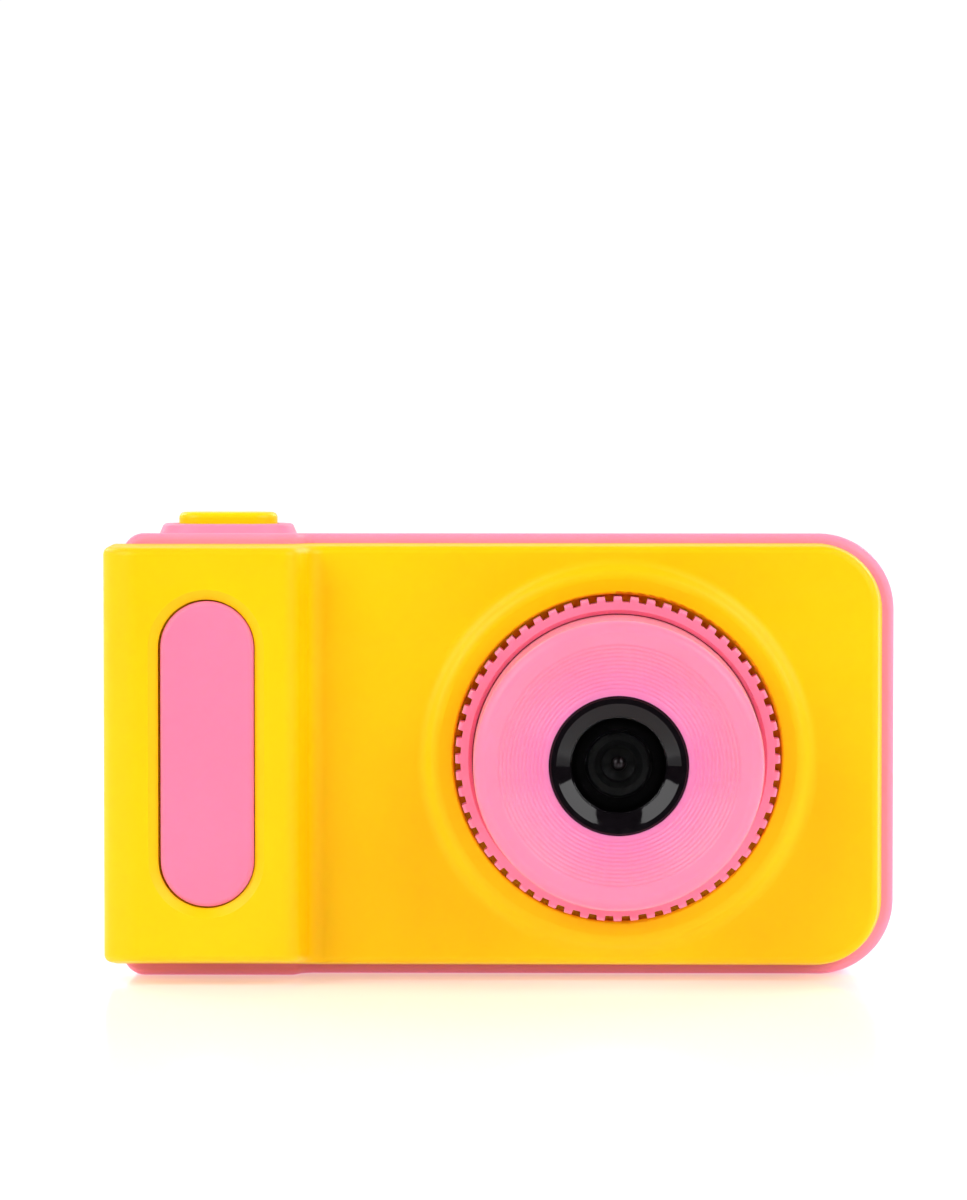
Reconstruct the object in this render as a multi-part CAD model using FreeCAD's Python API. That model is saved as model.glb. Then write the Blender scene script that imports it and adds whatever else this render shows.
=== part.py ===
import FreeCAD, Part
import math
import os

# Toy digital camera. Millimetres. +X is the lens side (right, seen from the front), the lens
# looks along -Y, +Z is up. The origin is the middle of the footprint, on the table.

V = FreeCAD.Vector

# ---- Driving dimensions -----------------------------------------------------------------

# Planes along the camera's depth, front to back
LENS_FRONT = -19.0
GRIP_FACE = -10.5
FRONT_FACE = -5.5
GRIP_SPLIT = 0.0
MAIN_SPLIT = 2.0
REAR_FACE = 18.0
BUTTON_PROUD = 1.0

# Front shell outline where it meets the rear shell
FRONT_LEFT = -41.0
FRONT_RIGHT = 39.75
FRONT_BOTTOM = 0.95
FRONT_TOP = 45.2
FRONT_CORNER = 7.0
TOP_TAPER = math.tan(math.radians(0.6))
RIGHT_TAPER = math.tan(math.radians(6.5))
BOTTOM_TAPER = math.tan(math.radians(7.5))
FRONT_EDGE = 0.8
GRIP_EDGE = 3.75

# Rear shell outline at its front lip
REAR_LEFT = -39.6
REAR_RIGHT = 41.0
REAR_TOP = 46.2
REAR_CORNER = 7.9
REAR_LEFT_CORNER = 2.3
REAR_DRAFT = 0.45
LIP_EDGE = 0.75
REAR_EDGE = 2.0
LIP_DEPTH = 2.2
FOOT_TRIM = 0.02

WALL = 1.8
REAR_WALL = 2.0
SIDE_WALL = 1.5

# The step beside the grip, and the matching jog of the split line
STEP_X = -20.3
STEP_RADIUS = 1.9
STEP_ANGLE = math.radians(75)
SPLIT_STEP_X = -20.9
SPLIT_STEP_RADIUS = 1.1
SPLIT_STEP_ANGLE = math.radians(60)

# Lens group, round the lens axis
LENS_X = 12.0
LENS_Z = 23.3
HOLE_R = 16.9
COLLAR_TOP_R = 18.4
COLLAR_BASE_R = 20.8
COLLAR_HEIGHT = 1.0
WELL_FLOOR = FRONT_FACE + 0.2
WELL_BACK = WELL_FLOOR + 2.0
TEETH = 60
TOOTH_TIP_R = 16.7
TOOTH_ROOT_R = 16.15
TOOTH_WIDTH = 0.78
RING_FRONT = FRONT_FACE - 3.2
BARREL_R = 14.9
BARREL_RIM_R = 14.72
BARREL_RIM_EDGE = 1.2
RING_BORE = BARREL_R + 0.07
RING_LEAD_IN = 0.4
NECK_R = 14.2
SPIGOT_R = 13.1
BARREL_BORE = 10.0
BEZEL_R = 7.1
GROOVE_FIRST_R = 7.6
GROOVE_COUNT = 12
GROOVE_PITCH = 0.4
GROOVE_DEPTH = 0.1
DISH_DEPTH = 0.9

# Stack along the lens axis, from the bezel's rim back to the sensor board
BEZEL_FRONT = LENS_FRONT + DISH_DEPTH - 0.2
CONE_BACK = BEZEL_FRONT + 0.85
WINDOW_FRONT = BEZEL_FRONT + 1.5
WINDOW_BACK = WINDOW_FRONT + 0.8
LENS_SEAT = WINDOW_BACK + 1.0
BEZEL_RIM_R = 6.24
CONE_END_R = 4.97
WINDOW_R = 4.75
LENS_CELL_R = 3.35
SENSOR_FRONT = -7.5
SENSOR_BACK = -6.7

# Grip inlay
PILL_X = -30.2
PILL_Z = 23.9
PILL_WIDTH = 9.6
PILL_HEIGHT = 31.4
PILL_SHIFT = 0.08
PILL_ROOM = 0.32

# Shutter release
SHUTTER_X = -29.0
SHUTTER_Y = 8.0
SHUTTER_TOP = 48.3
PLATFORM_TOP = 47.1
PLATFORM_LENGTH = 14.6
PLATFORM_DEPTH = 8.6
KEY_LENGTH = 10.4
KEY_DEPTH = 5.1
KEY_GAP = 0.15

# Rear buttons: name and centre
REAR_BUTTONS = {
    "up": (-26.2, 34.0),
    "ok": (-26.2, 25.5),
    "down": (-26.2, 17.0),
    "menu": (-34.2, 25.5),
    "power": (-18.2, 25.5),
}
BUTTON_R = 3.2

# Case screws: centre, and the depth where the two shells' posts meet
CASE_SCREWS = [
    (-35.8, 5.6, GRIP_SPLIT),
    (-35.8, 40.9, GRIP_SPLIT),
    (36.8, 7.2, MAIN_SPLIT),
    (36.8, 39.0, MAIN_SPLIT),
]
POST_R = 2.4
SCREW_R = 0.95
FIT = 0.05

# Main board and what stands on it
BOARD_FRONT = 8.0
BOARD_BACK = 9.2
BOARD_SCREWS = [(-16.0, 38.6), (-16.0, 7.6), (36.6, 26.0)]
SCREEN_X = 10.0
SCREEN_Z = 23.2
SWITCH_SIZE = 6.0
SWITCH_TOP = BOARD_BACK + 3.5

# Wrist strap hole in the left side, and the pocket behind it
LANYARD_Y = 14.2
LANYARD_Z = 12.6
LANYARD_R = 1.5
POCKET = 3.1

# Sound, light and sockets
SPEAKER_X = -26.0
SPEAKER_Z = 8.6
MIC = (-18.5, 35.5)
LED = (-34.5, 34.0)
USB_Z = 31.5
CARD_Z = 17.3

# Battery: x, y and z, from and to
BATTERY = (-7.0, 23.0, 2.2, 7.2, 10.8, 35.8)


# ---- Small helpers ----------------------------------------------------------------------

def box(x0, x1, y0, y1, z0, z1):
    return Part.makeBox(x1 - x0, y1 - y0, z1 - z0, V(x0, y0, z0))


def rod_x(y, z, radius, x0, x1):
    return Part.makeCylinder(radius, x1 - x0, V(x0, y, z), V(1, 0, 0))


def rod_y(x, z, radius, y0, y1):
    return Part.makeCylinder(radius, y1 - y0, V(x, y0, z), V(0, 1, 0))


def rod_z(x, y, radius, z0, z1):
    return Part.makeCylinder(radius, z1 - z0, V(x, y, z0), V(0, 0, 1))


def joined(solids):
    whole = solids[0].fuse(solids[1:])
    return whole.removeSplitter()


def edges_of(steps, place):
    """Edges through steps: a point is reached by a line, a pair (through, end) by an arc."""
    edges = []
    here = steps[0]
    for step in steps[1:]:
        if isinstance(step[0], tuple):
            through, end = step
            edges.append(Part.Arc(place(here), place(through), place(end)).toShape())
        else:
            end = step
            edges.append(Part.LineSegment(place(here), place(end)).toShape())
        here = end
    return edges


def face_of(steps, place):
    """Plane face inside a closed outline, given as for edges_of."""
    return Part.Face(Part.Wire(edges_of(steps + [steps[0]], place)))


def section_at(y):
    return lambda point: V(point[0], y, point[1])


def lens_place(point):
    """A (radius, depth) pair as a point in the half plane right of the lens axis."""
    return V(LENS_X + point[0], point[1], LENS_Z)


def turned(steps):
    """Solid of revolution round the lens axis, from a (radius, depth) outline."""
    return face_of(steps, lens_place).revolve(V(LENS_X, 0, LENS_Z), V(0, 1, 0), 360)


def rounded(x0, x1, z0, z1, left, right):
    """Outline of an upright rectangle with one corner radius at its left and one at its right."""
    bend_l = left * (1 - math.sqrt(0.5))
    bend_r = right * (1 - math.sqrt(0.5))
    steps = [(x0 + left, z0), (x1 - right, z0)]
    steps.append(((x1 - bend_r, z0 + bend_r), (x1, z0 + right)))
    steps.append((x1, z1 - right))
    steps.append(((x1 - bend_r, z1 - bend_r), (x1 - right, z1)))
    steps.append((x0 + left, z1))
    if left:
        steps.append(((x0 + bend_l, z1 - bend_l), (x0, z1 - left)))
        steps.append((x0, z0 + left))
        steps.append(((x0 + bend_l, z0 + bend_l), (x0 + left, z0)))
    else:
        steps.append((x0, z0))
    return steps


def rounded_wire(x0, x1, z0, z1, left, right, y):
    steps = rounded(x0, x1, z0, z1, left, right)
    if steps[-1] != steps[0] and not left:
        steps.append(steps[0])
    return Part.Wire(edges_of(steps, section_at(y)))


def rounded_block(x0, x1, z0, z1, radius, y0, y1):
    face = Part.Face(rounded_wire(x0, x1, z0, z1, radius, radius, y0))
    return face.extrude(V(0, y1 - y0, 0))


def stadium(centre, length, width, place):
    """Face with straight sides and half-round ends, long along the first axis."""
    across, along = centre
    half = width / 2
    reach = (length - width) / 2
    steps = [(across - reach, along - half), (across + reach, along - half)]
    steps.append(((across + reach + half, along), (across + reach, along + half)))
    steps.append((across - reach, along + half))
    steps.append(((across - reach - half, along), (across - reach, along - half)))
    return Part.Face(Part.Wire(edges_of(steps, place)))


def s_step(x_mid, y_from, y_to, radius, angle):
    """Steps of an S that climbs from y_from to y_to as x grows, level at both ends."""
    climb = y_to - y_from
    rise = radius * (1 - math.cos(angle))
    half = radius * math.sin(angle) + (climb - 2 * rise) / math.tan(angle) / 2
    start = (x_mid - half, y_from)
    end = (x_mid + half, y_to)
    part = (radius * math.sin(angle / 2), radius * (1 - math.cos(angle / 2)))
    whole = (radius * math.sin(angle), rise)
    first = ((start[0] + part[0], y_from + part[1]), (start[0] + whole[0], y_from + whole[1]))
    slope_end = (end[0] - whole[0], y_to - whole[1])
    last = ((end[0] - part[0], y_to - part[1]), end)
    return [start, first, slope_end, last]


def plan_prism(front_edges, rear_edges, joins):
    """Upright prism through the whole height between a front line and a rear line."""
    low = -5.0
    high = 55.0
    edges = front_edges + rear_edges
    for start, end in joins:
        edges.append(Part.LineSegment(V(start[0], start[1], 0), V(end[0], end[1], 0)).toShape())
    wire = Part.Wire(Part.__sortEdges__(edges))
    wire.translate(V(0, 0, low))
    return Part.Face(wire).extrude(V(0, 0, high - low))


def flat_place(point):
    return V(point[0], point[1], 0)


# ---- Shell bodies -----------------------------------------------------------------------

def split_line(x0, x1):
    """Plan of the line where the two shells meet, from x0 to x1."""
    steps = s_step(SPLIT_STEP_X, GRIP_SPLIT, MAIN_SPLIT, SPLIT_STEP_RADIUS, SPLIT_STEP_ANGLE)
    return edges_of([(x0, GRIP_SPLIT)] + steps + [(x1, MAIN_SPLIT)], flat_place)


def front_plan(inset):
    """Plan prism of the front shell: grip, step and main face, set in by a wall."""
    left = FRONT_LEFT + inset
    far = 50.0
    grip = GRIP_FACE + inset
    main = FRONT_FACE + inset
    radius = GRIP_EDGE - inset
    bend = radius * (1 - math.sqrt(0.5))
    step_x = STEP_X - inset * math.tan(STEP_ANGLE / 2)
    steps = [(left, GRIP_SPLIT), (left, grip + radius)]
    steps.append(((left + bend, grip + bend), (left + radius, grip)))
    steps += s_step(step_x, grip, main, STEP_RADIUS, STEP_ANGLE)
    steps.append((far, main))
    front = edges_of(steps, flat_place)
    return plan_prism(front, split_line(left, far), [((far, main), (far, MAIN_SPLIT))])


def front_taper(inset):
    """Tapered block whose sides lean in towards the front of the camera."""
    sections = []
    for y in (MAIN_SPLIT, GRIP_FACE):
        run = MAIN_SPLIT - y
        right = inset + run * RIGHT_TAPER
        sections.append(rounded_wire(
            FRONT_LEFT + inset, FRONT_RIGHT - right, FRONT_BOTTOM + inset + run * BOTTOM_TAPER,
            FRONT_TOP - inset - run * TOP_TAPER, 0.0, FRONT_CORNER - right, y))
    return Part.makeLoft(sections, True, True)


def front_rim_edges(solid):
    """The run of edges round the front of the shell, and back along the grip's outer side."""
    chosen = []
    for edge in solid.Edges:
        middle = edge.valueAt((edge.FirstParameter + edge.LastParameter) / 2)
        on_side = abs(middle.x - FRONT_LEFT) < 0.01 and edge.BoundBox.YLength > 1.0
        at_front = edge.BoundBox.YMax < FRONT_FACE + 0.01
        upright_seam = abs(middle.z - LENS_Z) < 12 and middle.x < FRONT_RIGHT - 5
        if on_side or (at_front and not upright_seam):
            chosen.append(edge)
    return chosen


def front_body():
    solid = front_taper(0.0).common(front_plan(0.0))
    return solid.makeFillet(FRONT_EDGE, front_rim_edges(solid))


def rear_body():
    """Outer form of the rear shell, with its rounded lip and its rounded back edges."""
    sections = []
    widest = MAIN_SPLIT + LIP_EDGE
    for y in (-1.0, REAR_FACE):
        draft = REAR_DRAFT * (y - widest) / (REAR_FACE - widest)
        sections.append(rounded_wire(
            REAR_LEFT + draft, REAR_RIGHT - draft, -FOOT_TRIM, REAR_TOP - draft,
            REAR_LEFT_CORNER, REAR_CORNER, y))
    block = Part.makeLoft(sections, True, True)
    far = 50.0
    joins = [((-far, GRIP_SPLIT), (-far, REAR_FACE)), ((far, MAIN_SPLIT), (far, REAR_FACE))]
    back = [Part.LineSegment(V(-far, REAR_FACE, 0), V(far, REAR_FACE, 0)).toShape()]
    solid = block.common(plan_prism(split_line(-far, far), back, joins))
    back_rim = [e for e in solid.Edges if e.BoundBox.YMin > REAR_FACE - 0.01]
    solid = solid.makeFillet(REAR_EDGE, back_rim)
    lip = [e for e in solid.Edges if e.BoundBox.YMax < MAIN_SPLIT + 0.01
           and not (e.BoundBox.ZLength > 30 and abs(e.BoundBox.Center.x) < 30)]
    solid = solid.makeFillet(LIP_EDGE, lip)
    return solid.cut(box(REAR_LEFT - 1, REAR_RIGHT + 1, -1, REAR_FACE + 1, -1, 0))


# ---- Front shell ------------------------------------------------------------------------

def lens_well():
    """Raised collar round the lens and the sunk floor that the knurled ring runs on."""
    edge = 0.3
    bend = edge * (1 - math.sqrt(0.5))
    top = FRONT_FACE - COLLAR_HEIGHT
    reach = COLLAR_BASE_R - COLLAR_TOP_R
    angle = 2 * math.atan(COLLAR_HEIGHT / reach)
    radius = reach / 2 / math.sin(angle)
    middle = (COLLAR_TOP_R + COLLAR_BASE_R) / 2
    part = (radius * math.sin(angle / 2), radius * (1 - math.cos(angle / 2)))
    steps = [
        (SPIGOT_R + FIT, WELL_FLOOR), (HOLE_R, WELL_FLOOR), (HOLE_R, top + edge),
        ((HOLE_R + bend, top + bend), (HOLE_R + edge, top)), (COLLAR_TOP_R, top),
        ((COLLAR_TOP_R + part[0], top + part[1]), (middle, top + COLLAR_HEIGHT / 2)),
        ((COLLAR_BASE_R - part[0], FRONT_FACE - part[1]), (COLLAR_BASE_R, FRONT_FACE)),
        (COLLAR_BASE_R, FRONT_FACE + 1.2), (HOLE_R + WALL, FRONT_FACE + 1.2),
        (HOLE_R + WALL, WELL_BACK), (SPIGOT_R + FIT, WELL_BACK),
    ]
    return turned(steps)


def pill_pocket():
    """Dished seat of the grip inlay: a soft bevel, then a straight-walled pocket."""
    lip = GRIP_FACE + 0.6
    floor = GRIP_FACE + 1.55
    bevel = 1.2
    outer = upright_stadium(PILL_X, PILL_Z, PILL_WIDTH + 2 * bevel, PILL_HEIGHT + 2 * bevel,
                            GRIP_FACE - 0.02)
    inner = upright_stadium(PILL_X, PILL_Z, PILL_WIDTH + PILL_ROOM, PILL_HEIGHT + PILL_ROOM,
                            lip)
    slope = Part.makeLoft([outer.OuterWire, inner.OuterWire], True, True)
    return slope.fuse(inner.extrude(V(0, floor - lip, 0)))


def upright_stadium(x, z, width, height, y):
    return stadium((z, x), height, width, lambda point: V(point[1], y, point[0]))


def inlay_pegs():
    return [(PILL_X, PILL_Z + side * PILL_HEIGHT / 4) for side in (-1, 1)]


def front_shell():
    cavity = front_taper(WALL).common(front_plan(WALL))
    shell = front_body().cut(cavity)
    shell = shell.cut(rod_y(LENS_X, LENS_Z, HOLE_R + 0.5, FRONT_FACE - 1, FRONT_FACE + WALL + 1))
    pad = upright_stadium(PILL_X, PILL_Z, PILL_WIDTH + 3, PILL_HEIGHT + 3, GRIP_FACE + 1.5)
    posts = [pad.extrude(V(0, 1.8, 0)), lens_well()]
    for x, z, split in CASE_SCREWS:
        face = GRIP_FACE if split == GRIP_SPLIT else FRONT_FACE
        post = rod_y(x, z, POST_R, face + WALL / 2, split)
        posts.append(post.common(front_body()))
    shell = joined([shell] + posts)
    shell = shell.cut(pill_pocket())
    for x, z in inlay_pegs():
        shell = shell.cut(rod_y(x, z, 1.2 + FIT, GRIP_FACE, GRIP_FACE + 6))
    for x, z, split in CASE_SCREWS:
        shell = shell.cut(rod_y(x, z, SCREW_R + 0.02, split - 5.5, split + 0.1))
    return shell


def grip_inlay():
    """Long pill set in the grip, with a softened edge and two pegs staked behind it."""
    back = GRIP_FACE + 1.5
    front = GRIP_FACE + 0.1
    plate = upright_stadium(PILL_X + PILL_SHIFT, PILL_Z, PILL_WIDTH, PILL_HEIGHT, front)
    plate = plate.extrude(V(0, back - front, 0))
    rim = [e for e in plate.Edges if e.BoundBox.YMax < front + 0.01]
    plate = plate.makeFillet(0.6, rim)
    pegs = [rod_y(x, z, 1.2, back - 0.2, GRIP_FACE + 4.2) for x, z in inlay_pegs()]
    return joined([plate] + pegs)


# ---- Lens group -------------------------------------------------------------------------

def lens_ring():
    """Knurled ring that turns round the barrel's neck, with square teeth round its rim."""
    pitch = 2 * math.pi / TEETH
    half_tip = TOOTH_WIDTH / 2 / TOOTH_TIP_R
    half_root = (TOOTH_WIDTH / 2 + 0.06) / TOOTH_ROOT_R

    def at(radius, angle):
        return (LENS_X + radius * math.sin(angle), LENS_Z + radius * math.cos(angle))

    start = at(TOOTH_TIP_R, -half_tip)
    steps = [start]
    for tooth in range(TEETH):
        turn = tooth * pitch
        steps.append((at(TOOTH_TIP_R, turn), at(TOOTH_TIP_R, turn + half_tip)))
        steps.append(at(TOOTH_ROOT_R, turn + half_root))
        steps.append((at(TOOTH_ROOT_R, turn + pitch / 2),
                      at(TOOTH_ROOT_R, turn + pitch - half_root)))
        if tooth < TEETH - 1:
            steps.append(at(TOOTH_TIP_R, turn + pitch - half_tip))
    rear = WELL_FLOOR - 0.15
    blank = face_of(steps, section_at(RING_FRONT)).extrude(V(0, rear - RING_FRONT, 0))
    soft = 0.35
    bend = soft * (1 - math.sqrt(0.5))
    lip_front = rear - 1.0
    profile = turned([
        (RING_BORE + RING_LEAD_IN, RING_FRONT), (TOOTH_TIP_R - soft, RING_FRONT),
        ((TOOTH_TIP_R - bend, RING_FRONT + bend), (TOOTH_TIP_R, RING_FRONT + soft)),
        (TOOTH_TIP_R, rear), (NECK_R + 0.1, rear), (NECK_R + 0.1, lip_front),
        (RING_BORE, lip_front), (RING_BORE, RING_FRONT + RING_LEAD_IN),
    ])
    return blank.common(profile)


def lens_barrel():
    """Fixed barrel: rounded rim, dished face with fine rings, neck, spigot and rear bore."""
    shoulder = WELL_FLOOR - 1.3
    rim_edge = BARREL_RIM_EDGE
    rim_start = BARREL_RIM_R - rim_edge
    bend = rim_edge * (1 - math.sqrt(0.5))
    dish_floor = LENS_FRONT + DISH_DEPTH
    inner_front = dish_floor + 2.2
    groove_end = GROOVE_FIRST_R + GROOVE_COUNT * GROOVE_PITCH

    def dish(radius):
        share = (rim_start - radius) / (rim_start - BEZEL_R)
        return LENS_FRONT + DISH_DEPTH * math.sin(share * math.pi / 2)

    steps = [(BEZEL_R, inner_front), (BEZEL_R, dish_floor)]
    for index in range(GROOVE_COUNT):
        crest = GROOVE_FIRST_R + index * GROOVE_PITCH
        trough = crest + GROOVE_PITCH / 2
        steps.append((crest, dish(crest)))
        steps.append((trough, dish(trough) + GROOVE_DEPTH))
    steps.append((groove_end, dish(groove_end)))
    steps.append(((rim_start - 0.4, dish(rim_start - 0.4)), (rim_start, LENS_FRONT)))
    steps.append(((BARREL_RIM_R - bend, LENS_FRONT + bend), (BARREL_RIM_R, LENS_FRONT + rim_edge)))
    steps += [(BARREL_R, shoulder), (NECK_R, shoulder), (NECK_R, WELL_FLOOR),
              (SPIGOT_R, WELL_FLOOR), (SPIGOT_R, WELL_BACK), (BARREL_BORE, WELL_BACK),
              (BARREL_BORE, inner_front)]
    barrel = turned(steps)
    for x, z in sensor_posts():
        barrel = barrel.fuse(rod_y(x, z, 1.3, inner_front - 0.5, SENSOR_FRONT))
        barrel = barrel.cut(rod_y(LENS_X, LENS_Z, BEZEL_R, inner_front - 1, LENS_SEAT + 1))
        barrel = barrel.cut(rod_y(x, z, 0.62, SENSOR_FRONT - 3, SENSOR_FRONT + 0.1))
    for x, z in retainer_screws():
        barrel = barrel.cut(rod_y(x, z, 0.77, WELL_BACK - 4, WELL_BACK + 0.1))
    return barrel



def sensor_posts():
    return [(LENS_X + side * 8.5, LENS_Z) for side in (-1, 1)]


def retainer_screws():
    spots = []
    for index in range(3):
        angle = math.radians(90 + 120 * index)
        spots.append((LENS_X + 11.55 * math.cos(angle), LENS_Z + 11.55 * math.sin(angle)))
    return spots


def barrel_retainer():
    """Flat ring behind the well that clamps the barrel to the front shell."""
    ring = turned([(BARREL_BORE + 0.2, WELL_BACK), (16.5, WELL_BACK), (16.5, WELL_BACK + 1.3),
                   (BARREL_BORE + 0.2, WELL_BACK + 1.3)])
    for x, z in retainer_screws():
        ring = ring.cut(rod_y(x, z, 0.85, WELL_BACK - 1, WELL_BACK + 2))
    return ring


def screw(x, z, radius, head_radius, head_y, tip_y, head_height):
    """Screw along Y with its head at head_y, a cross slot in the head and a plain shank."""
    towards = 1 if tip_y < head_y else -1
    shank = rod_y(x, z, radius, min(tip_y, head_y), max(tip_y, head_y))
    head = rod_y(x, z, head_radius, min(head_y, head_y + towards * head_height),
                 max(head_y, head_y + towards * head_height))
    body = joined([shank, head])
    slot = head_radius * 0.22
    top = head_y + towards * head_height
    low = min(top, top - towards * head_height * 0.6)
    high = max(top, top - towards * head_height * 0.6)
    for wide, tall in ((head_radius * 1.3, slot), (slot, head_radius * 1.3)):
        body = body.cut(box(x - wide / 2, x + wide / 2, low, high, z - tall / 2, z + tall / 2))
    return body


def retainer_screw_set():
    return [screw(x, z, 0.75, 1.4, WELL_BACK + 1.3, WELL_BACK - 3, 0.7)
            for x, z in retainer_screws()]



def lens_bezel():
    """Black funnel round the window, with a seat for the window and a hole for the lens."""
    cell_room = LENS_CELL_R + FIT
    ledge = WINDOW_R - 0.45
    middle = ((BEZEL_RIM_R + CONE_END_R) / 2 + 0.01, (BEZEL_FRONT + CONE_BACK) / 2 - 0.01)
    return turned([
        (cell_room, LENS_SEAT + 0.9), (cell_room, LENS_SEAT), (ledge, LENS_SEAT),
        (ledge, WINDOW_BACK), (WINDOW_R + FIT, WINDOW_BACK),
        (WINDOW_R + FIT, WINDOW_FRONT - 0.2), (CONE_END_R, CONE_BACK),
        (middle, (BEZEL_RIM_R, BEZEL_FRONT + 0.05)),
        (BEZEL_RIM_R + 0.08, BEZEL_FRONT), (BEZEL_R - 0.25, BEZEL_FRONT),
        (BEZEL_R - FIT, BEZEL_FRONT + 0.2), (BEZEL_R - FIT, LENS_SEAT + 0.9),
    ])


def lens_window():
    return turned([(0, WINDOW_FRONT), (WINDOW_R, WINDOW_FRONT), (WINDOW_R, WINDOW_BACK),
                   (0, WINDOW_BACK)])


def camera_lens():
    """Threaded lens cell with a stepped, conical mouth down to the stop."""
    mouth = WINDOW_BACK + 0.5
    return turned([
        (0.8, mouth + 1.6), (1.7, mouth + 0.9), (1.9, mouth + 0.55), (2.25, mouth + 0.2),
        (2.45, mouth), (3.1, mouth), (LENS_CELL_R, mouth + 0.25), (LENS_CELL_R, SENSOR_FRONT - 1.6),
        (1.7, SENSOR_FRONT - 1.6), (1.7, mouth + 2.6), (0.8, mouth + 2.6),
    ])


def lens_element():
    """Small front glass that closes the stop, bulged towards the front."""
    mouth = WINDOW_BACK + 2.1
    return turned([(0, mouth - 0.55), ((0.45, mouth - 0.42), (0.78, mouth)), (0.78, mouth + 0.9),
                   (0, mouth + 0.9)])


def lens_holder():
    """Square mount on the sensor board that carries the lens cell."""
    half = 4.5
    top = SENSOR_FRONT - 5.0
    block = box(LENS_X - half, LENS_X + half, top, SENSOR_FRONT, LENS_Z - half, LENS_Z + half)
    block = block.cut(rod_y(LENS_X, LENS_Z, LENS_CELL_R + 0.02, top - 1, SENSOR_FRONT - 1.6))
    return block.cut(box(LENS_X - 3.2, LENS_X + 3.2, SENSOR_FRONT - 1.6, SENSOR_FRONT + 1,
                         LENS_Z - 3.2, LENS_Z + 3.2))


def image_sensor():
    return box(LENS_X - 2.6, LENS_X + 2.6, SENSOR_FRONT - 0.8, SENSOR_FRONT,
               LENS_Z - 2.2, LENS_Z + 2.2)


def sensor_board():
    disc = rod_y(LENS_X, LENS_Z, 9.6, SENSOR_FRONT, SENSOR_BACK)
    for x, z in sensor_posts():
        disc = disc.cut(rod_y(x, z, 0.7, SENSOR_FRONT - 1, SENSOR_BACK + 1))
    return disc


def sensor_screw_set():
    return [screw(x, z, 0.6, 1.1, SENSOR_BACK, SENSOR_FRONT - 2.6, 0.6)
            for x, z in sensor_posts()]


def bent_strip(steps, thickness, z0, z1):
    """Flat flex along a plan route made of straight runs, with its inner corners rounded."""
    half = thickness / 2
    points = [V(x, y, z0) for x, y in steps]
    strips = []
    for start, end in zip(points, points[1:]):
        along = (end - start).normalize()
        side = V(-along.y, along.x, 0) * half
        ends = [start - along * half + side, start - along * half - side,
                end + along * half - side, end + along * half + side]
        wire = Part.makePolygon(ends + [ends[0]])
        strips.append(Part.Face(wire).extrude(V(0, 0, z1 - z0)))
    return joined(strips)


def sensor_flex():
    """Flex from the back of the sensor board, round the battery, to the main board."""
    x = LENS_X - 4.0
    route = [(x, SENSOR_BACK + 0.1), (x, 0.2), (x - 1.0, 0.9), (-9.0, 0.9), (-9.8, 1.7),
             (-9.8, BOARD_FRONT - 1.5)]
    return bent_strip(route, 0.2, LENS_Z - 3, LENS_Z + 3)


# ---- Rear shell -------------------------------------------------------------------------

def rear_cavity():
    main = rounded_block(REAR_LEFT + SIDE_WALL, REAR_RIGHT - REAR_WALL - 0.4, REAR_WALL,
                         REAR_TOP - REAR_WALL - 0.4, 2.0, LIP_DEPTH + MAIN_SPLIT - 1.0,
                         REAR_FACE - REAR_WALL)
    mouth = rounded_block(REAR_LEFT + SIDE_WALL, FRONT_RIGHT - WALL, FRONT_BOTTOM + WALL,
                          FRONT_TOP - WALL, 2.0, -2.0, LIP_DEPTH + MAIN_SPLIT)
    return main.fuse(mouth)


def lanyard_pocket(margin):
    """Pocket behind the lanyard hole, open at the back; margin thickens it into its wall."""
    x = REAR_LEFT + REAR_WALL + 0.2
    top = LANYARD_Z + POCKET / 2 + margin
    return box(x - margin, x + POCKET + margin, 11.0 - margin, REAR_FACE + 1 - 2 * margin,
               LANYARD_Z - POCKET / 2 - margin, top)


def speaker_holes():
    spots = [(0, 0)]
    for index in range(6):
        angle = math.radians(60 * index)
        spots.append((2.2 * math.cos(angle), 2.2 * math.sin(angle)))
    return [(SPEAKER_X + x, SPEAKER_Z + z) for x, z in spots]



def shutter_ribs():
    """Two ribs under the top wall that the shutter board is screwed to."""
    ribs = []
    for side in (-1, 1):
        x = SHUTTER_X + side * 4.4
        ribs.append(box(x - 0.9, x + 0.9, SHUTTER_Y - 4.8, SHUTTER_Y + 4.8, 39.0, 44.8))
    return ribs


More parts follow.
